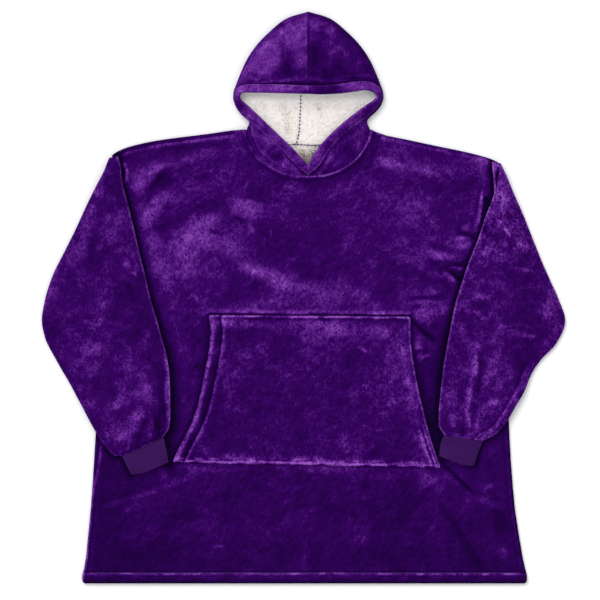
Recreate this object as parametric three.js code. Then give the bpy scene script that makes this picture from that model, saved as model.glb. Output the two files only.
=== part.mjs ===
// A wearable blanket: an oversized hooded pullover in plush fleece, with a sherpa inside.
// It is laid out flat with its sleeves folded over the front and its hood filled out a little.
// Millimetres, +Z up. The cloth lies on the plane z = 0, with the hood towards +Y and the hem towards -Y.
import * as THREE from "three";

const { lerp, clamp, smoothstep } = THREE.MathUtils;

// Cloth and seams
const WALL = 4.5; // body and sleeve cloth: the fleece with its pile behind it
const FLEECE = 2; // outer cloth of the hood, which has a lining of its own
const POCKET_WALL = 3.5;
const CUFF_WALL = 2.4; // rib knit, doubled
const SEAM = 0.3; // gap between neighbouring pieces

// Overall sizes
const HEM_Y = -572;
const HEM_DEPTH = 20; // turned and stitched hem
const HEM_RISE = 2.5; // how much thicker the turned hem is
const NECK_HALF = 123.5; // from the hood's middle to the neck point
const NECK_Y = 336;
const HOOD_X = 9.5; // middle of the hood and neck as laid
const PEAK_Y = 572; // top of the hood
const ELBOW_X = 524; // reach of each sleeve
const SHOULDER_ROW_Y = 150; // above this height the grid follows the shoulders
const EDGE_ROUND = 4; // rounding of a panel's free edge
const LOFT = 1.5; // air between the front and the back

// Heights of the layers that lie on each other
const FRONT_BOTTOM = WALL + SEAM;
const FRONT_TOP = FRONT_BOTTOM + WALL;
const OVER_BODY = FRONT_TOP + SEAM;

const COLOURS = {
  fleece: { color: 0x430f6b, roughness: 0.95 },
  band: { color: 0x4a1472, roughness: 0.95 },
  rib: { color: 0x3c125a, roughness: 0.9 },
  sherpa: { color: 0xe3deda, roughness: 1 },
};

// A table of numbers as rows with named columns.
function tableOf(columns, values) {
  return values.map((row) => Object.fromEntries(columns.map((name, i) => [name, row[i]])));
}

// A smooth curve of one column against another that never overshoots its rows.
function curveOf(table, xName, yName) {
  const rows = [...table].sort((p, q) => p[xName] - q[xName]);
  const x = rows.map((row) => row[xName]);
  const y = rows.map((row) => row[yName]);
  const last = x.length - 1;
  const slope = rows.slice(1).map((_, i) => (y[i + 1] - y[i]) / (x[i + 1] - x[i]));
  const tangent = x.map((_, i) => {
    if (i === 0 || i === last) return slope[Math.min(i, last - 1)];
    const [before, after] = [slope[i - 1], slope[i]];
    return before * after <= 0 ? 0 : (2 * before * after) / (before + after);
  });
  return (at) => {
    if (at <= x[0]) return y[0];
    if (at >= x[last]) return y[last];
    const i = x.findIndex((_, k) => at <= x[k + 1]);
    const step = x[i + 1] - x[i];
    const t = (at - x[i]) / step;
    const [t2, t3] = [t * t, t * t * t];
    return (
      (2 * t3 - 3 * t2 + 1) * y[i] +
      (t3 - 2 * t2 + t) * step * tangent[i] +
      (3 * t2 - 2 * t3) * y[i + 1] +
      (t3 - t2) * step * tangent[i + 1]
    );
  };
}

// Every column of a table as a curve of its first one.
function curvesOf(table) {
  const [first, ...others] = Object.keys(table[0]);
  return Object.fromEntries(others.map((name) => [name, curveOf(table, first, name)]));
}

// count points strictly between a and b.
function between(a, b, count) {
  return Array.from({ length: count }, (_, i) => lerp(a, b, (i + 1) / (count + 1)));
}

// A cloth wall between two grids of points, closed round its free edges. From row closedFrom on, the last
// column joins the first, so that the rows are rings; above it the wall is slit.
function wallBetween(outer, inner, closedFrom = Infinity) {
  const rows = outer.length;
  const columns = outer[0].length;
  const [end, side] = [rows - 1, columns - 1];
  const o = (i, j) => i * columns + j;
  const n = (i, j) => (rows + i) * columns + j;
  const index = [];
  const quad = (a, b, c, d) => index.push(a, b, c, a, c, d);
  const cell = (i, j, k) => {
    quad(o(i, j), o(i, k), o(i + 1, k), o(i + 1, j));
    quad(n(i, j), n(i + 1, j), n(i + 1, k), n(i, k));
  };
  const topRim = (i, j, k) => quad(o(i, k), o(i, j), n(i, j), n(i, k));
  const endRim = (i, j, k) => quad(o(i, j), o(i, k), n(i, k), n(i, j));
  for (let i = 0; i < end; i++) {
    for (let j = 0; j < side; j++) cell(i, j, j + 1);
    if (i >= closedFrom) {
      cell(i, side, 0);
    } else {
      quad(o(i, 0), o(i + 1, 0), n(i + 1, 0), n(i, 0));
      quad(o(i + 1, side), o(i, side), n(i, side), n(i + 1, side));
    }
  }
  for (let j = 0; j < side; j++) {
    topRim(0, j, j + 1);
    endRim(end, j, j + 1);
  }
  if (closedFrom <= end) {
    topRim(closedFrom, side, 0);
    endRim(end, side, 0);
  }
  const points = [...outer.flat(), ...inner.flat()];
  return facingOut(points, index);
}

// A closed surface of those points and triangles, turned so that its faces point out.
function facingOut(points, index) {
  let volume = 0;
  for (let i = 0; i < index.length; i += 3) {
    const [a, b, c] = [0, 1, 2].map((k) => new THREE.Vector3(...points[index[i + k]]));
    volume += a.dot(b.cross(c));
  }
  if (volume < 0) {
    for (let i = 0; i < index.length; i += 3) [index[i + 1], index[i + 2]] = [index[i + 2], index[i + 1]];
  }
  const geometry = new THREE.BufferGeometry();
  geometry.setAttribute("position", new THREE.Float32BufferAttribute(points.flat(), 3));
  geometry.setIndex(index);
  geometry.computeVertexNormals();
  return geometry;
}

// A closed bar through a list of rings, with flat ends.
function barThrough(rings) {
  const size = rings[0].length;
  const points = rings.flat();
  const index = [];
  for (let i = 0; i < rings.length - 1; i++) {
    for (let j = 0; j < size; j++) {
      const [a, b] = [i * size + j, i * size + ((j + 1) % size)];
      index.push(a, b, b + size, a, b + size, a + size);
    }
  }
  const last = (rings.length - 1) * size;
  for (let j = 1; j < size - 1; j++) {
    index.push(0, j + 1, j, last, last + j, last + j + 1);
  }
  return facingOut(points, index);
}

function piece(name, geometry, colour) {
  const mesh = new THREE.Mesh(geometry, new THREE.MeshStandardMaterial({ ...COLOURS[colour], metalness: 0 }));
  mesh.name = name;
  return mesh;
}

// Outline of the body as laid, seen from above.
const sides = curvesOf(
  tableOf(
    ["y", "left", "right"],
    [
      [285, -383, 388],
      [150, -390, 396],
      [10, -398, 403],
      [-275, -416, 412],
      [-413, -425, 422],
      [-475, -431, 431],
      [-533, -437, 441],
      [-560, -443, 447],
      [HEM_Y, -441, 445],
    ],
  ),
);
const shoulders = curveOf(
  tableOf(
    ["x", "y"],
    [
      [-386, 281],
      [-376, 290],
      [-347, 302],
      [-293, 314],
      [-201, 326],
      [HOOD_X - NECK_HALF, NECK_Y],
      [HOOD_X + NECK_HALF, NECK_Y],
      [151, 328],
      [211, 315],
      [267, 303],
      [325, 291],
      [373, 278],
      [391, 270],
    ],
  ),
  "x",
  "y",
);

// Both necklines, by the distance from the hood's middle. The hood is sewn to them.
const necklines = curvesOf(
  tableOf(
    ["across", "front", "back"],
    [
      [0, 243, 305],
      [30, 246, 306],
      [52, 252, 307],
      [74, 263, 310],
      [92, 276, 314],
      [106, 292, 319],
      [116, 310, 325],
      [121, 324, 330],
      [NECK_HALF, NECK_Y, NECK_Y],
    ],
  ),
);
const NECK_COLUMNS = [0, 28, 52, 74, 92, 106, 116, 121, NECK_HALF];
const EDGE_COLUMNS = [0, 1.5, 5]; // distances of a grid's outermost lines from a panel's edge

// Where the sleeves and cuffs cover the front, which lies smooth under them.
const covers = curvesOf(
  tableOf(
    ["y", "left", "right"],
    [
      [285, -374, 380],
      [230, -358, 375],
      [125, -332, 350],
      [0, -300, 300],
      [-110, -270, 276],
      [-210, -260, 268],
      [-350, -258, 268],
      [-420, -425, 424],
    ],
  ),
);

// Front pocket, a patch sewn along its top and bottom with slanting open sides.
const pocketSides = curvesOf(
  tableOf(
    ["t", "left", "right"],
    [
      [0, -263, 275],
      [0.1, -250, 264],
      [0.22, -231, 252],
      [0.35, -215, 242],
      [0.47, -206, 233],
      [0.62, -197, 224],
      [0.77, -189, 217],
      [0.9, -186, 214],
      [1, -190, 214],
    ],
  ),
);
const POCKET_BOTTOM = { left: -331, right: -341 };
const POCKET_TOP = { left: -35, right: -38 };
const POCKET_HEM = 22; // turned edge of each opening
const POCKET_MOUTH = 2.4; // how far the openings stand off the front

// How far inside the pocket's outline a point lies, from 0 at its edge to 1.
function underPocket(x, y) {
  const t = (y - POCKET_BOTTOM.left) / (POCKET_TOP.left - POCKET_BOTTOM.left);
  const inside = Math.min(x - pocketSides.left(t), pocketSides.right(t) - x, y + 336, -37 - y);
  return smoothstep(inside, 0, 25);
}

// The front's main folds: soft ridges, and troughs where the height is below 0.
const folds = tableOf(
  ["x0", "y0", "x1", "y1", "width", "height"],
  [
    [-330, 262, -120, 285, 22, 3],
    [-325, 232, -130, 235, 20, -2.5],
    [-335, 210, -270, 60, 22, 3],
    [-255, 190, -90, 205, 34, 2.5],
    [-60, 180, 40, 60, 45, 2],
    [150, 250, 340, 245, 24, 2.5],
    [352, 215, 346, 150, 10, 3.5],
    [180, 150, 318, 60, 26, 2.5],
    [205, 70, 300, 20, 16, 3.5],
    [208, -8, 290, 2, 14, 3.5],
    [220, -48, 262, -98, 9, -3],
    [-250, -30, -225, -140, 26, 2.5],
    [278, -352, 372, -490, 16, -3],
    [300, -345, 400, -455, 18, 3],
    [-60, -380, -40, -520, 34, 1.8],
    [-250, -400, -330, -520, 40, 2.2],
    [90, -375, 140, -530, 30, 1.8],
  ],
);

// Height of the folds at a point, which fade out at their ends.
function foldsAt(x, y) {
  return folds.reduce((sum, f) => {
    const [dx, dy] = [f.x1 - f.x0, f.y1 - f.y0];
    const along = clamp(((x - f.x0) * dx + (y - f.y0) * dy) / (dx * dx + dy * dy), -0.25, 1.25);
    const off = Math.hypot(x - f.x0 - along * dx, y - f.y0 - along * dy);
    const taper = smoothstep(along, -0.25, 0.25) * (1 - smoothstep(along, 0.75, 1.25));
    return sum + f.height * taper * Math.exp(-((off / f.width) ** 2));
  }, 0);
}

// Distance of a point from the front neckline.
function fromNeckline(x, y) {
  const side = Math.sign(x - HOOD_X) || 1;
  return Math.min(
    ...NECK_COLUMNS.map((across) => Math.hypot(x - HOOD_X - side * across, y - necklines.front(across))),
  );
}

// How far the front is lifted off the back: folds, some loft, and the bulk of the neck seam.
function liftAt(x, y) {
  const inFromSleeves = Math.min(x - covers.left(y), covers.right(y) - x);
  const free = smoothstep(inFromSleeves, 20, 60);
  const aboveHem = smoothstep(y - HEM_Y, 15, 90);
  const belowShoulder = smoothstep(topOf("front", x) - y, 6, 60);
  const loft = LOFT + foldsAt(x, y) * (1 - underPocket(x, y));
  const neck = 4 * Math.exp(-((fromNeckline(x, y) / 20) ** 2));
  return Math.max(0, loft) * free * aboveHem * belowShoulder + neck;
}

// Upper end of the front or back panel at x.
function topOf(panel, x) {
  const across = Math.abs(x - HOOD_X);
  return across < NECK_HALF ? necklines[panel](across) - SEAM : shoulders(x);
}

// How much an edge is taken down at a distance inside it, as a rounded rim.
function rimDrop(distance) {
  const rest = clamp(1 - distance / EDGE_ROUND, 0, 1);
  return EDGE_ROUND * (1 - Math.sqrt(1 - rest * rest));
}

// Thickening of the turned hem, with a groove at its stitching.
function hemRise(y) {
  const up = y - HEM_Y;
  const band = HEM_RISE * (1 - smoothstep(up, HEM_DEPTH - 3, HEM_DEPTH));
  return band - 1.2 * Math.exp(-(((up - HEM_DEPTH - 1) / 1.6) ** 2));
}

// A grid of plan points over a body panel, from the hem up.
function panelGrid(panel, columnsPerSide, hemRows, bodyRows, shoulderRows) {
  const columnsAt = (y) => {
    const [left, right] = [sides.left(y), sides.right(y)];
    const [neckLeft, neckRight] = [HOOD_X - NECK_HALF, HOOD_X + NECK_HALF];
    const edge = EDGE_COLUMNS.at(-1);
    return [
      ...EDGE_COLUMNS.map((d) => left + d),
      ...between(left + edge, neckLeft, columnsPerSide),
      ...NECK_COLUMNS.toReversed().map((across) => HOOD_X - across),
      ...NECK_COLUMNS.slice(1).map((across) => HOOD_X + across),
      ...between(neckRight, right - edge, columnsPerSide),
      ...EDGE_COLUMNS.toReversed().map((d) => right - d),
    ];
  };
  const low = hemRows.map((up) => HEM_Y + up);
  const straight = [...low, ...between(low.at(-1), SHOULDER_ROW_Y, bodyRows), SHOULDER_ROW_Y];
  const grid = straight.map((y) => columnsAt(y).map((x) => [x, y]));
  const edge = EDGE_COLUMNS.at(-1);
  const rowAbove = (share, below) =>
    columnsAt(SHOULDER_ROW_Y).map((x0, j) => {
      const heightAt = (x) => lerp(SHOULDER_ROW_Y, topOf(panel, x) - below, share);
      const x = columnsAt(heightAt(x0))[j];
      return [x, heightAt(x)];
    });
  const upper = between(0, 1, shoulderRows).map((share) => rowAbove(share, edge));
  const rim = EDGE_COLUMNS.toReversed().map((below) => rowAbove(1, below));
  return [...grid, ...upper, ...rim];
}

// Distance of a plan point from the panel's nearest free edge.
function toEdge(panel, x, y) {
  return Math.min(x - sides.left(y), sides.right(y) - x, y - HEM_Y, topOf(panel, x) - y);
}

// Height of the front panel's upper face.
function frontTop(x, y) {
  return FRONT_TOP + liftAt(x, y) + hemRise(y);
}

// The front's highest point within a reach of a plan point, so that what lies on it clears its facets.
function highestFront(x, y, reach) {
  const steps = [-reach, -reach / 2, 0, reach / 2, reach];
  return Math.max(...steps.flatMap((dx) => steps.map((dy) => frontTop(x + dx, y + dy))));
}

function frontPanel() {
  const plan = panelGrid("front", 5, [...EDGE_COLUMNS, 16.5, 20.5, 25], 12, 5);
  const topAt = (x, y) => frontTop(x, y) - rimDrop(toEdge("front", x, y));
  const upper = plan.map((row) => row.map(([x, y]) => [x, y, topAt(x, y)]));
  const lower = plan.map((row) => row.map(([x, y]) => [x, y, FRONT_BOTTOM + liftAt(x, y)]));
  return wallBetween(upper, lower);
}

function backPanel() {
  const plan = panelGrid("back", 1, EDGE_COLUMNS, 2, 1);
  const upper = plan.map((row) => row.map(([x, y]) => [x, y, WALL]));
  const lower = plan.map((row) => row.map(([x, y]) => [x, y, rimDrop(toEdge("back", x, y))]));
  return wallBetween(upper, lower);
}

// The half-moon of lining that shows inside the back of the neck.
function neckLining() {
  const bottom = WALL + SEAM;
  const thickness = 2.2;
  const inset = 4;
  const across = [-110, -92, -70, -45, -20, 0, 20, 45, 70, 92, 110];
  const grid = (z) =>
    [0, 0.25, 0.5, 0.75, 1].map((t) =>
      across.map((a) => {
        const from = necklines.front(Math.abs(a)) + inset;
        const to = necklines.back(Math.abs(a)) - 1;
        return [HOOD_X + a, lerp(from, to, t), z];
      }),
    );
  return wallBetween(grid(bottom + thickness), grid(bottom));
}

// The pocket's plan points, from its bottom seam up: place, share of its height, distance inside its sides.
function pocketGrid() {
  const rowsAt = [0, 0.012, 0.03, 0.05, ...between(0.05, 0.95, 8), 0.95, 0.97, 0.988, 1];
  const fromEdge = [0, 2, 8, POCKET_HEM - 4, POCKET_HEM, POCKET_HEM + 4];
  return rowsAt.map((t) => {
    const [left, right] = [pocketSides.left(t), pocketSides.right(t)];
    const width = right - left;
    const across = [
      ...fromEdge,
      ...between(fromEdge.at(-1), width - fromEdge.at(-1), 7),
      ...fromEdge.toReversed().map((d) => width - d),
    ];
    return across.map((d) => {
      const bottom = lerp(POCKET_BOTTOM.left, POCKET_BOTTOM.right, d / width);
      const top = lerp(POCKET_TOP.left, POCKET_TOP.right, d / width);
      return { x: left + d, y: lerp(bottom, top, t), t, inFromSide: Math.min(d, width - d) };
    });
  });
}

function pocket() {
  const grid = pocketGrid();
  const seat = ({ x, y, t, inFromSide }) => {
    const open = Math.sin(Math.PI * t) * (1 - smoothstep(inFromSide, 0, 60));
    return highestFront(x, y, 24) + SEAM + POCKET_MOUTH * open;
  };
  const thickness = ({ t, inFromSide }) => {
    const hem = 2 * (1 - smoothstep(inFromSide, POCKET_HEM - 3, POCKET_HEM + 1));
    const fromSeam = (POCKET_TOP.left - POCKET_BOTTOM.left) * Math.min(t, 1 - t);
    const groove = Math.exp(-(((fromSeam - 8) / 3) ** 2)) * smoothstep(inFromSide, 5, 20);
    const rim = Math.min(rimDrop(inFromSide), 2.6) + Math.min(rimDrop(fromSeam), 2.2);
    return Math.max(0.8, POCKET_WALL + hem - groove - rim);
  };
  const face = (lift) => grid.map((row) => row.map((p) => [p.x, p.y, seat(p) + lift(p)]));
  return wallBetween(face(thickness), face(() => 0));
}

// Sleeves: the outer and inner edges as laid, from the shoulder to the cuff.
const SLEEVES = {
  left: tableOf(
    ["row", "outX", "outY", "inX", "inY"],
    [
      [0, -389, 279, -371, 282],
      [1, -393, 270, -367, 270],
      [2, -400, 252, -364, 252],
      [3, -411, 231, -362, 231],
      [4, -434, 185, -351, 187],
      [5, -456, 137, -339, 139],
      [6, -480, 89, -328, 91],
      [7, -503, 42, -316, 43],
      [8, -518, -6, -305, -5],
      [9, -ELBOW_X, -45, -293, -45],
      [10, -518, -79, -284, -78],
      [11, -494, -127, -272, -122],
      [12, -467, -174, -267, -164],
      [13, -441, -222, -266, -204],
      [14, -416, -268, -266, -240],
      [15, -392, -303, -268, -260],
      [16, -376, -317, -275, -271],
      [17, -363, -317, -280, -279],
    ],
  ),
  right: tableOf(
    ["row", "outX", "outY", "inX", "inY"],
    [
      [0, 395, 268, 377, 272],
      [1, 399, 259, 377, 261],
      [2, 406, 245, 379, 245],
      [3, 419, 213, 381, 213],
      [4, 441, 163, 364, 163],
      [5, 460, 115, 347, 113],
      [6, 479, 68, 328, 65],
      [7, 495, 32, 315, 25],
      [8, 511, -4, 304, -10],
      [9, ELBOW_X, -47, 295, -52],
      [10, 506, -92, 287, -95],
      [11, 476, -124, 280, -135],
      [12, 457, -152, 276, -170],
      [13, 441, -190, 272, -205],
      [14, 425, -217, 270, -232],
      [15, 408, -246, 270, -254],
      [16, 386, -273, 278, -270],
      [17, 359, -287, 281, -275],
    ],
  ),
};
const UNDERARM_Y = 10; // the sleeve is a closed tube from here on, and joins the armhole above it
const SLEEVE_GAP = 2.5; // air between a laid sleeve's layers
const FOLD_REACH = 7; // how far the rounding of a fold reaches into the cloth

// Points on a uniform cubic B-spline that starts and ends on its first and last control points.
function splinePoints(control, perSpan) {
  const mirrored = (end, next) => end.map((value, i) => 2 * value - next[i]);
  const p = [mirrored(control[0], control[1]), ...control, mirrored(control.at(-1), control.at(-2))];
  const points = [];
  for (let i = 0; i < p.length - 3; i++) {
    for (let k = 0; k < perSpan; k++) points.push(splineAt(p, i, k / perSpan));
  }
  points.push(splineAt(p, p.length - 4, 1));
  return points;
}

function splineAt(p, i, t) {
  const weights = [(1 - t) ** 3, 3 * t ** 3 - 6 * t * t + 4, -3 * t ** 3 + 3 * t * t + 3 * t + 1, t ** 3];
  return [0, 1].map((axis) => weights.reduce((sum, w, k) => sum + (w / 6) * p[i + k][axis], 0));
}

// Shares of the way along one layer, with the first and last kept close to the folds.
function layerShares(length, count) {
  const near = Math.min(FOLD_REACH / length, 0.3);
  return [near, ...between(near, 1 - near, count), 1 - near];
}

// A sleeve's cut across one row, as distance from the outer fold and height: the control points of one face
// of its cloth, at a depth inside the outer face. It runs from the armhole's front edge over the front panel
// to the inner fold, back over the top to the outer fold, and in along the floor to the back panel's edge.
function sleeveSection(row, side, depth) {
  const sign = side === "left" ? 1 : -1;
  const width = Math.hypot(row.inX - row.outX, row.inY - row.outY);
  const pastEdge = (w) => {
    const t = w / width;
    return sign * (lerp(row.outX, row.inX, t) - sides[side](lerp(row.outY, row.inY, t)));
  };
  const toEdge = width * clamp(pastEdge(0) / (pastEdge(0) - pastEdge(width)), 0.05, 0.6);
  const merged = 1 - smoothstep(row.outY, UNDERARM_Y, UNDERARM_Y + 75);
  const retreat = smoothstep(merged, 0, 0.5);
  const rise = smoothstep(merged, 0.5, 1);
  const ahead = 26 * smoothstep(row.row, 11, 13); // the lower end is up on the body before its edge
  const onBody = (w) => OVER_BODY * smoothstep(pastEdge(w) + ahead, -45, -2);
  const floor = (w) => lerp(0, onBody(w), rise);
  const gap = SLEEVE_GAP * smoothstep(row.row, -1, 3) * (1 - 0.8 * smoothstep(row.row, 14, 17));
  const loft = (w) => gap * (1 + 0.4 * Math.sin(Math.PI * clamp(w / width, 0, 1)));
  const top = (w) => OVER_BODY * smoothstep(pastEdge(w), -60, -12) + 2 * WALL + loft(w);
  const start = Math.min(lerp(toEdge + 1, Math.max(toEdge + 1, 21), rise), width - 1.6 * FOLD_REACH);
  const end = lerp(toEdge - SEAM, start - 15, retreat);
  const [outerFold, innerFold] = [depth, width - depth];
  const along = (from, to, shares, height) =>
    shares.map((share) => {
      const w = lerp(from, to, share);
      return [w, height(w)];
    });
  const under = (w) => OVER_BODY + depth;
  const over = (w) => top(w) - depth;
  const back = (w) => floor(w) + depth;
  return [
    ...along(start, innerFold, [0, 0.3, 0.65, 1 - Math.min(0.2, FOLD_REACH / (width - start)), 1], under),
    ...along(innerFold, outerFold, [0, ...layerShares(width, 4), 1], over),
    ...along(outerFold, end, [0, Math.min(0.4, FOLD_REACH / end), 0.7, 0.9, 1], back),
  ];
}

function sleeve(side) {
  const table = SLEEVES[side];
  const face = (row, depth) => {
    const width = Math.hypot(row.inX - row.outX, row.inY - row.outY);
    return splinePoints(sleeveSection(row, side, depth), 2).map(([w, z]) => [
      lerp(row.outX, row.inX, w / width),
      lerp(row.outY, row.inY, w / width),
      z,
    ]);
  };
  const closedFrom = table.findIndex((row) => row.outY <= UNDERARM_Y);
  return wallBetween(
    table.map((row) => face(row, 0)),
    table.map((row) => face(row, WALL)),
    closedFrom,
  );
}

// Cuffs: flattened tubes of rib knit, from the sleeve's end to the free end.
const CUFFS = {
  left: tableOf(
    ["t", "outX", "outY", "inX", "inY"],
    [
      [0, -362.8, -317.4, -279.8, -279.4],
      [0.5, -353, -337, -274, -304],
      [1, -345, -353, -270, -329],
    ],
  ),
  right: tableOf(
    ["t", "outX", "outY", "inX", "inY"],
    [
      [0, 358.8, -287.4, 281, -275.4],
      [0.5, 349, -311, 277, -298],
      [1, 341, -335, 277, -324],
    ],
  ),
};
const CUFF_HEIGHT = 7.6; // both layers and the air between them
const CUFF_RIBS = 32; // round one cuff
const RIB_RISE = 0.7;

// A point on a flattened ring: a straight run with half-round ends, at a share of its length round.
function flatRing(width, height, share) {
  const radius = height / 2;
  const run = width - height;
  const turn = Math.PI * radius;
  const lengths = [run, turn, run, turn];
  let at = share * (2 * run + 2 * turn);
  const stretch = lengths.findIndex((length, i) => {
    if (at <= length || i === 3) return true;
    at -= length;
    return false;
  });
  const angle = at / radius;
  if (stretch === 0) return [radius + at, 0];
  if (stretch === 1) return [width - radius + radius * Math.sin(angle), radius - radius * Math.cos(angle)];
  if (stretch === 2) return [width - radius - at, height];
  return [radius - radius * Math.sin(angle), radius + radius * Math.cos(angle)];
}

function cuff(side) {
  const count = CUFF_RIBS * 2;
  const wallOf = (inset, ribbed) =>
    CUFFS[side].map((row) => {
      const width = Math.hypot(row.inX - row.outX, row.inY - row.outY);
      return Array.from({ length: count }, (_, k) => {
        const sunk = inset + (ribbed && k % 2 ? RIB_RISE : 0);
        const [w, h] = flatRing(width - 2 * sunk, CUFF_HEIGHT - 2 * sunk, k / count);
        const t = (w + sunk) / width;
        return [lerp(row.outX, row.inX, t), lerp(row.outY, row.inY, t), OVER_BODY + sunk + h];
      });
    });
  return wallBetween(wallOf(0, true), wallOf(CUFF_WALL, false), 0);
}

// The hood: one half, by the distance across from its middle. Each row runs from the face edge over the top
// to the side fold, and back under to the seam at the middle. The first row is the neck, the last the
// middle seam over the crown.
const hood = curvesOf(
  tableOf(
    ["row", "inA", "inY", "inZ", "outA", "outY", "outZ", "sideA", "sideY", "backY"],
    [
      [0, 0, 264, 15, 0, 244.5, 13.5, NECK_HALF, NECK_Y, 305],
      [1, 13, 283, 16.5, 25, 266, 14.5, 121.5, 341, 320],
      [2, 34, 308, 18.5, 48, 295, 16, 119, 346, 334],
      [3, 57, 331, 20.5, 70, 318, 17, 118, 351, 347],
      [4, 79, 351, 22.5, 92, 338, 17.5, 119, 355, 360],
      [5, 100, 369, 25, 112, 353, 17, 124, 361, 372],
      [6, 120, 385, 27.5, 132, 370, 15.5, 138, 374, 385],
      [7, 133, 394, 29, 143, 386, 14, 147, 387, 398],
      [8, 138, 401, 30, 147, 399, 13.5, 150.5, 400, 411],
      [9, 135, 408, 31.5, 145, 412, 14.5, 149.5, 411, 425],
      [10, 120, 411, 34, 135, 424, 21, 144.5, 426, 440],
      [11, 98, 411, 36.5, 111, 430, 29, 137, 445, 457],
      [12, 73, 410.5, 38.5, 80, 431, 34, 124, 474, 475],
      [13, 48, 410, 40, 51, 430.5, 37, 104, 504, 494],
      [14, 30, 409.5, 41, 31, 430, 38.5, 77, 532, 512],
      [15, 14, 409, 41.5, 14, 429.5, 39.5, 42, 559, 531],
      [16, 0, 409, 42, 0, 429, 40, 0, PEAK_Y, 550],
    ],
  ),
);
const HOOD_ROWS = 16;
const FACE_LEAN = -8; // the face opening as laid lies off the hood's middle by this much
const SIDE_FOLD_Z = 8; // height of the hood's side folds
const BAND_GAP = 0.9; // between the face edge's band and the hood's cloth
const BAND_THICKNESS = 9; // the turned edge round the face

// How far the face opening's edge is shifted at a height.
function faceShift(y) {
  return FACE_LEAN * Math.sin(Math.PI * clamp((y - 262) / 138, 0, 1));
}

const TURN_STEPS = [0.3, 0.65, 1]; // the side fold's rounding, down to where the cloth lies on the floor
const FLOOR_STEPS = [0.4, 0.75, 1]; // from there to the middle of the back

// The row's upper cloth, from the face edge to the side fold: distance from the middle, y and height.
function hoodOver(row, face, fold, sideZ) {
  const bow = 1 - smoothstep(row, 0, 2.2); // the lowest rows bow with the front neckline
  return OVER_STEPS.map((t) => {
    const neckA = NECK_HALF * Math.sin((t * Math.PI) / 2);
    const straightY = lerp(necklines.front(0), NECK_Y, t);
    const a = lerp(face[0], fold[0], t) + bow * (neckA - NECK_HALF * t);
    const y = lerp(face[1], fold[1], t) + bow * (necklines.front(neckA) - straightY);
    const clearY = necklines.front(clamp(a, 0, NECK_HALF)) + SEAM;
    return [a, Math.max(y, clearY), sideZ + (face[2] - sideZ) * (1 - t ** 2.4) ** (1 / 2.4)];
  });
}

// The row's lower cloth, from the side fold round to the middle of the back.
function hoodUnder(row, fold, back, sideZ, depth) {
  const run = Math.hypot(back[0] - fold[0], back[1] - fold[1]);
  const radius = Math.min(sideZ - depth, run * 0.5);
  const turn = TURN_STEPS.map((share) => (share * radius) / run);
  const onNeck = 1 - smoothstep(row, 0, 1.5);
  return [...turn, ...FLOOR_STEPS.map((t) => lerp(turn.at(-1), 1, t))].map((t) => {
    const inside = clamp(1 - (t * run) / radius, 0, 1);
    const a = lerp(fold[0], back[0], t);
    const neckY = necklines.back(clamp(a, 0, NECK_HALF)) + SEAM;
    const z = depth + (sideZ - depth) * (1 - Math.sqrt(1 - inside * inside));
    return [a, lerp(lerp(fold[1], back[1], t), neckY, onNeck), z];
  });
}

// One row of the hood's cloth at a depth inside its outer face, on the left (-1) or right (1) half.
function hoodRow(row, depth, side) {
  const h = Object.fromEntries(Object.entries(hood).map(([name, curve]) => [name, curve(row)]));
  const [inner, outer] = [
    [h.inA, h.inY, h.inZ],
    [h.outA, h.outY, h.outZ],
  ];
  const clear = BAND_GAP / Math.hypot(...outer.map((value, i) => value - inner[i]));
  const face = outer.map((value, i) => value + (value - inner[i]) * clear);
  face[0] += side * faceShift(h.outY);
  face[2] += 1 - depth;
  const length = Math.hypot(h.sideA - face[0], h.sideY - face[1]);
  const fold = [
    h.sideA - ((h.sideA - face[0]) / length) * depth,
    h.sideY - ((h.sideY - face[1]) / length) * depth,
  ];
  const sideZ = lerp(5.2, SIDE_FOLD_Z, smoothstep(row, 0, 3));
  const back = [SEAM / 2, h.backY];
  const points = [...hoodOver(row, face, fold, sideZ), ...hoodUnder(row, fold, back, sideZ, depth)];
  return points.map(([a, y, z]) => [HOOD_X + side * Math.max(a, SEAM / 2), y, z]);
}

function hoodShell(side, from, to) {
  const gridAt = (depth) => ROW_STEPS.map((row) => hoodRow(row, depth, side));
  return wallBetween(gridAt(from), gridAt(to));
}

const ROW_STEPS = [0, 0.7, 1.5, 2.5, 4, 5.5, 6.5, 7.5, 8.5, 9.5, 10.5, 11.5, 12.5, 13.7, 15, HOOD_ROWS];
const OVER_STEPS = [0, 0.15, 0.35, 0.55, 0.75, 0.9, 0.98, 1];

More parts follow.
